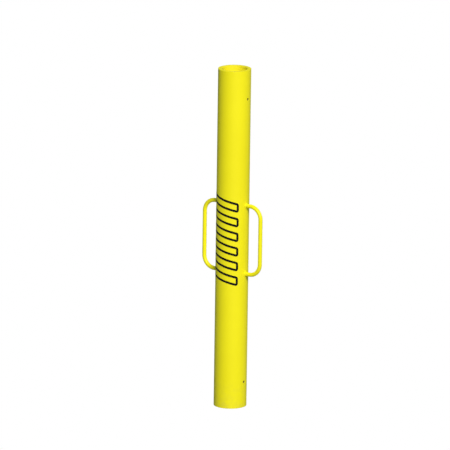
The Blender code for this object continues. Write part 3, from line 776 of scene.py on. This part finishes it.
grub_sets = (("bush", bush_grub_height, 0.0028, 3), ("base", base_grub_height, 0.007, 5))
for level, height, reach, seed in grub_sets:
    screws = fasteners(
        f"{level}_grub_screws",
        turned("grub_screw", grub_profile(bore_radius - reach), sides=48),
        zinc_steel,
        height,
        seed,
        count=2,
        first=grub_angles[0],
        step=grub_angles[1] - grub_angles[0],
    )
    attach(screws, "outer_post")
    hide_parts(f"{level}_screw_1", f"{level}_screw_2")


# The rail rivets: five domed blind rivets up the back of the post, pulled through the guide rail inside.
# The broken mandrel leaves a small pit in each dome.
dome_radius, dome_height, dome_skirt = 0.0048, 0.0022, 0.0003
mandrel, pit_depth, pit_angle = 0.0009, 0.0005, 0.20
dome_foot = post_radius + 0.00002
pit_floor = dome_foot + dome_height - pit_depth
dome = [(0, pit_floor), (mandrel, pit_floor), (mandrel + 0.0001, dome_foot + dome_height - 0.0001)]
for k in range(1, 13):
    a = (pi / 2 - pit_angle) * (1 - k / 12)
    dome.append((dome_radius * cos(a), dome_foot + dome_skirt + (dome_height - dome_skirt) * sin(a)))
dome += [(dome_radius, dome_foot), (rivet_radius, dome_foot - 0.00001)]
rivet_end = -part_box("guide_rail")[1].x + gap
dome += [(rivet_radius, rivet_end), (0, rivet_end)]
rivets = fasteners(
    "rail_rivets",
    turned("rivet", dome, sides=48),
    zinc_steel,
    rivet_heights[0],
    seed=7,
    count=5,
    first=rivet_angle,
    rise=(rivet_heights[-1] - rivet_heights[0]) / 4,
)
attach(rivets, "outer_post")
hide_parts(*[f"rail_rivet_{i}" for i in range(1, 6)])


# The base plug: a galvanised steel disc pressed into the foot of the post and held by grub screws. Four
# drilled holes let rain out, and a blind tapped hole in the middle takes the buffer's screw.
def spangled(name):
    """Hot-dip zinc: flat crystals of slightly different greys, with a faint edge between them."""
    made, add, where = shader(name)
    crystal = add("ShaderNodeTexVoronoi", {"Vector": where, "Scale": 260.0, "Randomness": 1.0})
    shade = add("ShaderNodeSeparateColor", {0: crystal.outputs["Color"]}).outputs[0]
    colour = tinted(add, shade, (0.44, 0.46, 0.47), (0.55, 0.57, 0.58))
    colour = over(add, times(add, grain(add, where, 0.010, 4.0, 0.5, 0.8), 0.35), colour, (0.62, 0.62, 0.60))
    surface(
        made,
        add,
        {
            "Base Color": colour,
            "Metallic": 1.0,
            "Roughness": ranged(add, shade, 0.0, 1.0, 0.42, 0.54),
            "Normal": bumped(add, crystal.outputs["Distance"], 0.00003, 0.5),
        },
    )
    return made


galvanised_steel = spangled("galvanised_steel")
plug_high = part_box("base_plug")[1]
drain_radius, drain_circle = 0.004, 0.037
tap_radius, tap_floor = 0.0031, 0.0035
drill_low, drill_high = -0.01, 0.02
plug_corners = [(0, plug_high.z), (plug_high.x, plug_high.z), (plug_high.x, 0), (0, 0)]
plug_profile = eased(plug_corners, 0.0009, closed=False)
drain_shape = [(0, drill_high), (drain_radius, drill_high), (drain_radius, drill_low), (0, drill_low)]
through = turned("drain_drill", drain_shape, sides=48)
tap_shape = [(0, drill_high), (tap_radius, drill_high), (tap_radius, tap_floor + 0.001), (0, tap_floor)]
tap = turned("screw_drill", tap_shape, sides=48)
tools = [(tap, Matrix.Identity(4))]
for i in range(4):
    spoke = Matrix.Rotation(pi / 4 + i * pi / 2, 4, "Z")
    tools.append((through, spoke @ Matrix.Translation((drain_circle, 0, 0))))
tools += [(grub_drill, radial(a, base_grub_height)) for a in grub_angles]
plug = finished("base_plug_disc", bored(turned("plug", plug_profile, sides=144), tools), galvanised_steel)
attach(plug, "outer_post")
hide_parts("base_plug")


# Inside the foot of the post: a rubber buffer that the inner post lands on, its screw, and the flat steel
# rail that keeps the inner post from turning. They are shut in, so the fitted solids stay, with their own
# finishes.
def refinished(node, finish):
    """Gives a fitted solid that stays as it is a finish of its own."""
    materials = frame["nodes"][node].data.materials
    materials.clear()
    materials.append(finish)


refinished("landing_buffer", black_rubber)
refinished("buffer_screw", zinc_steel)
refinished("guide_rail", galvanised_steel)


# The hazard marking: a column of slanted bars in outline, cut from one sheet of black cast vinyl with
# rounded corners and rubbed down round the side of the post.
marking, add, sizes = geometry_tree(
    "wrapped_bars",
    {
        "Width": "Float",
        "Bar Height": "Float",
        "Stroke": "Float",
        "Corner Radius": "Float",
        "Film": "Float",
        "Slant": "Float",
        "Count": "Int",
        "Pitch": "Float",
        "Post Radius": "Float",
        "Start Angle": "Float",
        "Lowest": "Float",
        "Finish": "Material",
    },
)
wide = reckon(add, "SUBTRACT", sizes["Width"], sizes["Stroke"])
tall = reckon(add, "SUBTRACT", sizes["Bar Height"], sizes["Stroke"])
bar = add("GeometryNodeCurvePrimitiveQuadrilateral", {"Width": wide, "Height": tall}).outputs[0]
bar = add(
    "GeometryNodeFilletCurve",
    {"Curve": bar, "Count": 8, "Radius": sizes["Corner Radius"], "Limit Radius": True},
    mode="POLY",
).outputs[0]
x, y, z = parts_of(add, add("GeometryNodeInputPosition").outputs[0])
half_wide = reckon(add, "MULTIPLY", sizes["Width"], 0.5)
half_tall = reckon(add, "MULTIPLY", sizes["Bar Height"], 0.5)
along = reckon(add, "ADD", x, half_wide)
lifted = reckon(add, "ADD", reckon(add, "ADD", y, half_tall), reckon(add, "MULTIPLY", along, sizes["Slant"]))
bar = add("GeometryNodeSetPosition", {"Geometry": bar, "Position": vector(add, along, lifted)}).outputs[0]
bar = add("GeometryNodeResampleCurve", {"Curve": bar, "Length": 0.0012}, mode="LENGTH").outputs[0]
bar = add("GeometryNodeSetCurveNormal", {"Curve": bar}, mode="Z_UP").outputs[0]
strip_size = {"Width": sizes["Stroke"], "Height": sizes["Film"]}
strip = add("GeometryNodeCurvePrimitiveQuadrilateral", strip_size).outputs[0]
bar = add("GeometryNodeCurveToMesh", {"Curve": bar, "Profile Curve": strip}).outputs[0]
offset = vector(add, y=sizes["Pitch"])
column = add("GeometryNodeMeshLine", {"Count": sizes["Count"], "Offset": offset}).outputs[0]
bars = add("GeometryNodeInstanceOnPoints", {"Points": column, "Instance": bar}).outputs[0]
bars = add("GeometryNodeRealizeInstances", {"Geometry": bars}).outputs[0]
x, y, z = parts_of(add, add("GeometryNodeInputPosition").outputs[0])
angle = reckon(add, "SUBTRACT", sizes["Start Angle"], reckon(add, "DIVIDE", x, sizes["Post Radius"]))
reach = reckon(add, "ADD", sizes["Post Radius"], z)
wrapped = vector(
    add,
    reckon(add, "MULTIPLY", reach, reckon(add, "COSINE", angle)),
    reckon(add, "MULTIPLY", reach, reckon(add, "SINE", angle)),
    reckon(add, "ADD", y, sizes["Lowest"]),
)
bars = add("GeometryNodeSetPosition", {"Geometry": bars, "Position": wrapped}).outputs[0]
close_tree(add, bars, sizes["Finish"])

marking_film, add, where = shader("marking_film")
lint = grain(add, where, 0.0009, 4.0, 0.62, 0.78)
black = tinted(add, grain(add, where, 0.03), (0.0035, 0.0035, 0.0035), (0.0065, 0.0063, 0.0058))
colour = over(add, times(add, lint, 0.25), black, (0.08, 0.075, 0.06))
surface(
    marking_film,
    add,
    {
        "Base Color": colour,
        "Roughness": ranged(add, grain(add, where, 0.006), 0.0, 1.0, 0.46, 0.58),
        "Normal": bumped(add, grain(add, where, 0.0018, 1.0), 0.00003, 0.35),
        "Specular IOR Level": 0.18,
    },
)

film, stroke, slant = 0.0002, 0.0070, radians(15)
film_face = post_radius + 0.00003 + film / 2
wrap_start, wrap_end = radians(-33), radians(-152)
first_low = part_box("marking_bar_1")[0].z
values = {
    "Width": film_face * (wrap_start - wrap_end),
    "Bar Height": 0.030,
    "Stroke": stroke,
    "Corner Radius": 0.0042,
    "Film": film,
    "Slant": tan(slant),
    "Count": 6,
    "Pitch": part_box("marking_bar_2")[0].z - first_low,
    "Post Radius": film_face,
    "Start Angle": wrap_start,
    "Lowest": first_low,
    "Finish": marking_film,
}
bars = finished("hazard_marking", grown("hazard_marking", marking, values), marking_film)
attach(bars, "outer_post")
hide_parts(*[f"marking_bar_{i}" for i in range(1, 7)])


# The inner post: a lighter tube coated the same yellow, turned down by a paint's thickness where the two
# reflective bands lie. The wiper polishes faint lines along it.
inner_low, inner_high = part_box("inner_tube")
inner_radius, inner_wall, band_recess = inner_high.x, 0.004, 0.0007
band_boxes = [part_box("upper_reflective_band"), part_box("lower_reflective_band")]
sunk_angles = [radians(45 + 90 * i) for i in range(4)]
foot_screw_height, cap_screw_height = middle("foot_screw_1"), middle("cap_screw_1")
sunk_head, sunk_shank, sunk_face, sunk_rise, sunk_length = 0.0055, 0.003, 0.0376, 0.0028, 0.013

inner_profile = [(inner_radius, inner_high.z), (inner_radius, cap_screw_height - 0.012)]
for low, high in band_boxes:
    inner_profile += [
        (inner_radius, high.z + gap),
        (inner_radius - band_recess, high.z + gap),
        (inner_radius - band_recess, low.z - gap),
        (inner_radius, low.z - gap),
    ]
inner_profile += [(inner_radius, foot_screw_height + 0.012), (inner_radius, inner_low.z)]
inner_profile += [(inner_radius - inner_wall, inner_low.z), (inner_radius - inner_wall, inner_high.z)]
seat = turned(
    "seat",
    [
        (0, inner_radius + 0.001),
        (sunk_head + 0.0014, inner_radius + 0.001),
        (sunk_head + 0.0004, inner_radius),
        (sunk_head + 0.0002, sunk_face),
        (sunk_shank + 0.0002, sunk_face - sunk_rise),
        (sunk_shank + 0.0002, sunk_face - sunk_length),
        (0, sunk_face - sunk_length),
    ],
    sides=48,
)
seats = [(seat, radial(a, z)) for a in sunk_angles for z in (foot_screw_height, cap_screw_height)]

inner_paint, add, where = shader("inner_post_paint")
streak_place = add("ShaderNodeMapping", {"Vector": where, "Scale": (1.0, 1.0, 0.02)}).outputs[0]
streaks = grain(add, streak_place, 0.0016, 3.0, 0.58, 0.72)
colour = tinted(add, grain(add, where, 0.09, 3.0), (0.930, 0.815, 0.008), (0.955, 0.850, 0.010))
colour = over(add, times(add, streaks, 0.14), colour, (0.42, 0.36, 0.05))
surface(
    inner_paint,
    add,
    {
        "Base Color": colour,
        "Roughness": ranged(add, streaks, 0.0, 1.0, 0.44, 0.30),
        "Normal": bumped(add, grain(add, where, 0.0016, 1.0), 0.00004, 0.3),
        "Specular IOR Level": 0.35,
    },
)
inner_mesh = turned("inner_post", eased(inner_profile, 0.0004))
inner_post = finished("inner_post_tube", bored(inner_mesh, seats), inner_paint)
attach(inner_post, "inner_post")
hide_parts("inner_tube")


# The reflective bands: white prismatic sheeting wrapped round the inner post in its two recesses. Fine
# sealed seams cross it in diamonds, and each cell throws light back a little differently.
reflective_film, add, where = shader("reflective_film")
x, y, z = parts_of(add, where)
wound = reckon(add, "MULTIPLY", reckon(add, "ARCTAN2", y, x), inner_radius)
cell = 0.0042
seams = []
for sign in (1, -1):
    slope = reckon(add, "DIVIDE", reckon(add, "ADD", wound, reckon(add, "MULTIPLY", z, sign)), cell)
    share = reckon(add, "ABSOLUTE", reckon(add, "SUBTRACT", reckon(add, "FRACT", slope), 0.5))
    seams.append(ranged(add, share, 0.42, 0.47))
seam = times(add, seams[0], seams[1], "MAXIMUM")
glint = add("ShaderNodeTexVoronoi", {"Vector": where, "Scale": 700.0}).outputs["Color"]
glint = add("ShaderNodeSeparateColor", {0: glint}).outputs[0]
cells = tinted(add, glint, (0.70, 0.72, 0.75), (0.88, 0.89, 0.91))
colour = over(add, seam, cells, (0.93, 0.93, 0.92))
surface(
    reflective_film,
    add,
    {
        "Base Color": colour,
        "Metallic": ranged(add, seam, 0.0, 1.0, 0.45, 0.0),
        "Roughness": ranged(add, glint, 0.0, 1.0, 0.18, 0.34),
        "Normal": bumped(add, seam, 0.00006, 0.7),
    },
)
for label, (low, high) in zip(("upper", "lower"), band_boxes):
    outer, inner = inner_radius - 0.00005, inner_radius - band_recess + 0.00005
    corners = [(outer, high.z), (outer, low.z), (inner, low.z), (inner, high.z)]
    band = finished(f"reflective_band_{label}", turned("band", eased(corners, 0.0002)), reflective_film)
    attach(band, "inner_post")
    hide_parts(f"{label}_reflective_band")


# The foot block: black nylon, turned, slotted for the rail and bored for the lock. It is shut inside the
# post, so the fitted solid stays. Sliding has rubbed it lighter along its length.
slide_plastic, add, where = shader("slide_plastic")
streak_place = add("ShaderNodeMapping", {"Vector": where, "Scale": (1.0, 1.0, 0.03)}).outputs[0]
rubbed = grain(add, streak_place, 0.0018, 4.0, 0.52, 0.70)
surface(
    slide_plastic,
    add,
    {
        "Base Color": tinted(add, rubbed, (0.020, 0.020, 0.021), (0.085, 0.085, 0.085)),
        "Roughness": ranged(add, rubbed, 0.0, 1.0, 0.58, 0.36),
        "Normal": bumped(add, lathe_lines(add, where, 0.0005), 0.00002, 0.4),
    },
)
refinished("foot_block", slide_plastic)


# The flush screws: stainless countersunk socket screws, four in the foot block and four in the cap. They
# sit just below the inner post's face, so that they pass the wiper.
def stainless(name, stretch):
    """Bright stainless steel with fine polishing lines, drawn out by the stretch along each axis."""
    made, add, where = shader(name)
    place = add("ShaderNodeMapping", {"Vector": where, "Scale": stretch}).outputs[0]
    lines = grain(add, place, 0.0007, 2.0)
    smears = ranged(add, grain(add, where, 0.008, 4.0, 0.5, 0.75), 0, 1, 0, 0.1)
    surface(
        made,
        add,
        {
            "Base Color": tinted(add, lines, (0.62, 0.62, 0.61), (0.72, 0.72, 0.71)),
            "Metallic": 1.0,
            "Roughness": times(add, ranged(add, lines, 0.0, 1.0, 0.20, 0.32), smears, "ADD"),
            "Normal": bumped(add, lines, 0.000004, 0.3),
        },
    )
    return made


stainless_steel = stainless("stainless_steel", (1.0, 1.0, 0.2))
sunk_tip = sunk_face - sunk_length
sunk_profile = [
    (0, sunk_face - 0.0022),
    (socket_half, sunk_face - 0.0018, 6),
    (socket_half, sunk_face - 0.0001, 6),
    (socket_half + 0.0004, sunk_face + 0.0001),
    (sunk_head - 0.0002, sunk_face + 0.0001),
    (sunk_head, sunk_face - 0.0001),
    (sunk_head, sunk_face - 0.0003),
    (sunk_shank, sunk_face - sunk_rise),
    (sunk_shank, sunk_tip + 0.0006),
    (sunk_shank - 0.0006, sunk_tip),
    (0, sunk_tip),
]
for level, height, seed in (("foot", foot_screw_height, 11), ("cap", cap_screw_height, 13)):
    screws = fasteners(
        f"{level}_flush_screws",
        turned("flush_screw", sunk_profile, sides=48),
        stainless_steel,
        height,
        seed,
        count=4,
        first=sunk_angles[0],
        step=sunk_angles[1] - sunk_angles[0],
    )
    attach(screws, "inner_post")
    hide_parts(*[f"{level}_screw_{i}" for i in range(1, 5)])


# The cap: a galvanised plug that closes the inner post. Its flange lies flush with the tube, and its turned
# spigot takes the four flush screws from the side and the ring's two screws from above.
cap_low, cap_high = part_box("top_cap")
cap_thickness, spigot_radius = 0.006, inner_radius - inner_wall - gap
clip_low, clip_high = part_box("ring_clip")
hinge_x = middle("ring_clip", 0)
clip_screw_x = [middle(f"clip_screw_{i}", 0) for i in (1, 2)]
cap_profile = [
    (0, cap_high.z),
    (inner_radius, cap_high.z),
    (inner_radius, cap_high.z - cap_thickness),
    (spigot_radius, cap_high.z - cap_thickness),
    (spigot_radius, cap_low.z),
    (0, cap_low.z),
]
above_all, clip_tap = 2.0, 0.0021
tap_shape = [(0, above_all), (clip_tap, above_all), (clip_tap, cap_high.z - 0.013), (0, cap_high.z - 0.014)]
tap = turned("clip_drill", tap_shape, sides=32)
tools = [(tap, Matrix.Translation((x, 0, 0))) for x in clip_screw_x]
tools += [(seat, radial(a, cap_screw_height)) for a in sunk_angles]
cap_mesh = turned("cap", eased(cap_profile, 0.0012, steps=5, closed=False))
cap = finished("post_cap", bored(cap_mesh, tools), galvanised_steel)
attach(cap, "inner_post")
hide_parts("top_cap")


# The ring clip: a strip of stainless steel pressed into a saddle over the lift ring's straight side, with
# its edges rolled over by the press. Two button-head screws hold it to the cap.
clip_thickness = 0.002
hinge_z = middle("lift_ring")
half_reach, half_width = (clip_high.x - clip_low.x) / 2, clip_high.y
saddle_inner = 0.0033
saddle_outer = saddle_inner + clip_thickness
saddle_fillet, fillet_angle = 0.0008, 0.12
foot = clip_low.z
flange = foot + clip_thickness


def saddle_arc(radius, start, end):
    """Points over the ring's bar from one angle to the other."""
    angles = [start + (end - start) * i / 24 for i in range(25)]
    return [(radius * cos(a), hinge_z + radius * sin(a)) for a in angles]


section = [(half_reach, foot), (half_reach, flange), (saddle_outer + saddle_fillet, flange)]
section += saddle_arc(saddle_outer, fillet_angle, pi - fillet_angle)
section += [(-saddle_outer - saddle_fillet, flange), (-half_reach, flange), (-half_reach, foot)]
section += [(-saddle_inner, foot)] + saddle_arc(saddle_inner, pi, 0) + [(saddle_inner, foot)]
bm = bmesh.new()
near = [bm.verts.new((hinge_x + x, -half_width, z)) for x, z in section]
far = [bm.verts.new((hinge_x + x, half_width, z)) for x, z in section]
for i in range(len(section)):
    n = (i + 1) % len(section)
    bm.faces.new((near[i], near[n], far[n], far[i]))
bm.faces.new(near)
bm.faces.new(reversed(far))
strap = bpy.data.meshes.new("strap")
bm.to_mesh(strap)
bm.free()
clip_hole, below_all = 0.0023, 0.5
hole_shape = [(0, above_all), (clip_hole, above_all), (clip_hole, below_all), (0, below_all)]
hole = turned("clip_hole", hole_shape, sides=32)
strap = bored(strap, [(hole, Matrix.Translation((x, 0, 0))) for x in clip_screw_x])
clip_steel = stainless("brushed_clip_steel", (1.0, 0.15, 1.0))
rolled = bpy.data.objects.new("strap", strap)
scene.collection.objects.link(rolled)
bevel = rolled.modifiers.new("rolled_edges", "BEVEL")
bevel.width = 0.00035
bevel.segments = 3
bevel.limit_method = "ANGLE"
bevel.angle_limit = radians(50)
clip = finished("ring_saddle_clip", read(rolled), clip_steel)
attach(clip, "inner_post")
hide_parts("ring_clip")

seat_height = flange + 0.00005
button_radius, button_top, button_rim = 0.0036, seat_height + 0.0024, seat_height + 0.0004
button_flat, button_socket = 0.0018, 0.0011
button_shank, button_tip = 0.002, seat_height - 0.014
button = [
    (0, seat_height + 0.0006),
    (button_socket, seat_height + 0.0009, 6),
    (button_socket, button_top - 0.0001, 6),
    (button_socket + 0.0004, button_top),
]
for k in range(1, 9):
    a = pi / 2 * (1 - k / 8)
    across = button_flat + (button_radius - button_flat) * cos(a)
    button.append((across, button_rim + (button_top - button_rim) * sin(a)))
button += [
    (button_radius, seat_height),
    (button_shank, seat_height),
    (button_shank, button_tip + 0.0006),
    (button_shank - 0.0006, button_tip),
    (0, button_tip),
]
pair, add, sizes = geometry_tree(
    "screw_pair",
    {"Fastener": "Object", "First": "Float", "Second": "Float", "Seed": "Int", "Finish": "Material"},
)
first = vector(add, x=sizes["First"])
step = vector(add, x=reckon(add, "SUBTRACT", sizes["Second"], sizes["First"]))
spots = add("GeometryNodeMeshLine", {"Count": 2, "Start Location": first, "Offset": step}).outputs[0]
spin = any_turn(add, add("GeometryNodeInputIndex").outputs[0], sizes["Seed"])
shape = add("GeometryNodeObjectInfo", {"Object": sizes["Fastener"]}).outputs["Geometry"]
close_tree(add, copies(add, spots, shape, vector(add, z=spin)), sizes["Finish"])
pattern = bpy.data.objects.new("pattern", turned("button_screw", button, sides=48))
values = {
    "Fastener": pattern,
    "First": clip_screw_x[0],
    "Second": clip_screw_x[1],
    "Seed": 17,
    "Finish": stainless_steel,
}
screws = finished("ring_clip_screws", grown("ring_clip_screws", pair, values), stainless_steel)
bpy.data.objects.remove(pattern, do_unlink=True)
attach(screws, "inner_post")
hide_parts("clip_screw_1", "clip_screw_2")


# The lift ring: stainless bar bent to a D and butt welded under the clip. It lies flat on the cap and folds
# up to take a hand's pull.
ring_low, ring_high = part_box("lift_ring")
ring_rod = (ring_high.z - ring_low.z) / 2
ring_half = ring_high.y - ring_rod
ring_far = ring_high.x - ring_rod
ring_steel = stainless("polished_ring_steel", (1.0, 1.0, 1.0))
corners = [(hinge_x, -ring_half, hinge_z), (ring_far, -ring_half, hinge_z)]
corners += [(ring_far, ring_half, hinge_z), (hinge_x, ring_half, hinge_z)]
ring_bend = 0.007
ring_path = path("lift_ring", corners, [ring_bend, ring_half, ring_half, ring_bend], closed=True)
values = {"Rod Radius": ring_rod, "Rod Sides": 32, "Bend Steps": 28, "Finish": ring_steel}
ring = finished("lift_d_ring", grown("lift_ring", bent_rod, values, ring_path), ring_steel, sharp=60)
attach(ring, "ring")
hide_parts("lift_ring")


# The lock: a stainless plunger that springs out through the post's wall when its hole comes round, the
# screwed bush that keeps it in, and the coil spring behind it.
pin_low, pin_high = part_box("lock_plunger")
shoulder_radius = (pin_high.z - pin_low.z) / 2
nose_radius, tail_radius, shoulder_start, shoulder_end = 0.0036, 0.0030, 0.0265, 0.0305
nose_round = 0.0012
pin_profile = [(0, pin_high.x)]
for k in range(9):
    a = pi / 2 * (1 - k / 8)
    pin_profile.append((nose_radius - nose_round * (1 - cos(a)), pin_high.x - nose_round * (1 - sin(a))))
pin_profile += [
    (nose_radius, shoulder_end + 0.0004),
    (nose_radius - 0.0003, shoulder_end),
    (shoulder_radius - 0.0003, shoulder_end),
    (shoulder_radius, shoulder_end - 0.0003),
    (shoulder_radius, shoulder_start + 0.0003),
    (shoulder_radius - 0.0003, shoulder_start),
    (tail_radius, shoulder_start),
    (tail_radius, pin_low.x + 0.0005),
    (tail_radius - 0.0005, pin_low.x),
    (0, pin_low.x),
]
pin_mesh = turned("lock_pin", pin_profile, sides=64)
pin_mesh.transform(radial(0, lower_lock))
pin_steel = stainless("turned_pin_steel", (0.15, 1.0, 1.0))
pin = finished("lock_pin", pin_mesh, pin_steel)
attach(pin, "plunger")
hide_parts("lock_plunger")

keeper_low, keeper_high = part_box("plunger_stop_bush")
keeper_radius, keeper_bore = (keeper_high.z - keeper_low.z) / 2, nose_radius + gap
corners = [(keeper_radius, keeper_high.x), (keeper_radius, keeper_low.x)]
corners += [(keeper_bore, keeper_low.x), (keeper_bore, keeper_high.x)]
keeper = turned("pin_keeper", eased(corners, 0.0003), sides=64)
slot_x, slot_y, slot_z = (keeper_high.x - 0.001, keeper_high.x + 0.002), (-0.012, 0.012), (-0.0006, 0.0006)
slot_tool = bpy.data.meshes.new("slot")
slot_tool.from_pydata(
    [(x, y, z) for x in slot_x for y in slot_y for z in slot_z],
    [],
    [(0, 1, 3, 2), (4, 6, 7, 5), (0, 4, 5, 1), (2, 3, 7, 6), (0, 2, 6, 4), (1, 5, 7, 3)],
)
keeper.transform(radial(0, lower_lock))
keeper = bored(keeper, [(slot_tool, Matrix.Translation((0, 0, lower_lock)))])
keeper = finished("pin_keeper_bush", keeper, zinc_steel)
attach(keeper, "inner_post")
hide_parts("plunger_stop_bush")

coil, add, sizes = geometry_tree(
    "coil_spring",
    {
        "Coil Radius": "Float",
        "Wire Radius": "Float",
        "Turns": "Float",
        "Length": "Float",
        "Finish": "Material",
    },
)
spiral = add(
    "GeometryNodeCurveSpiral",
    {
        "Resolution": 40,
        "Rotations": sizes["Turns"],
        "Start Radius": sizes["Coil Radius"],
        "End Radius": sizes["Coil Radius"],
    },
).outputs[0]
share = add("GeometryNodeSplineParameter").outputs["Factor"]
turns = reckon(add, "MULTIPLY", share, sizes["Turns"])
closed_pitch = reckon(add, "MULTIPLY", sizes["Wire Radius"], 2.05)
last = reckon(add, "SUBTRACT", sizes["Turns"], 1)
free = reckon(add, "SUBTRACT", sizes["Length"], reckon(add, "MULTIPLY", closed_pitch, 2))
closed_start = reckon(add, "MULTIPLY", ranged(add, turns, 0.0, 1.0), closed_pitch)
closed_end = reckon(add, "MULTIPLY", ranged(add, turns, last, sizes["Turns"]), closed_pitch)
open_turns = reckon(add, "MULTIPLY", ranged(add, turns, 1.0, last), free)
lift = reckon(add, "ADD", reckon(add, "ADD", closed_start, closed_end), open_turns)
x, y, z = parts_of(add, add("GeometryNodeInputPosition").outputs[0])
wound = add("GeometryNodeSetPosition", {"Geometry": spiral, "Position": vector(add, x, y, lift)}).outputs[0]
close_tree(add, swept(add, wound, sizes["Wire Radius"], 14, {"Fill Caps": True}), sizes["Finish"])

spring_steel, add, where = shader("spring_steel")
place = add("ShaderNodeMapping", {"Vector": where, "Scale": (1.0, 0.3, 0.3)}).outputs[0]
lines = grain(add, place, 0.0003, 3.0)
surface(
    spring_steel,
    add,
    {
        "Base Color": tinted(add, lines, (0.24, 0.23, 0.22), (0.42, 0.40, 0.38)),
        "Metallic": 1.0,
        "Roughness": ranged(add, lines, 0.0, 1.0, 0.26, 0.40),
        "Normal": bumped(add, lines, 0.000005, 0.5),
    },
)
spring_low, spring_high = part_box("plunger_spring")
wire_radius = 0.0006
coil_radius = (spring_high.z - spring_low.z) / 2 - wire_radius
values = {
    "Coil Radius": coil_radius,
    "Wire Radius": wire_radius,
    "Turns": 6.0,
    "Length": spring_high.x - spring_low.x - 2 * wire_radius,
    "Finish": spring_steel,
}
spring_mesh = grown("lock_spring", coil, values)
spring_mesh.transform(radial(0, lower_lock) @ Matrix.Translation((0, 0, spring_low.x + wire_radius)))
spring = finished("lock_spring", spring_mesh, spring_steel, sharp=60)
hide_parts("plunger_spring")
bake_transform(spring)
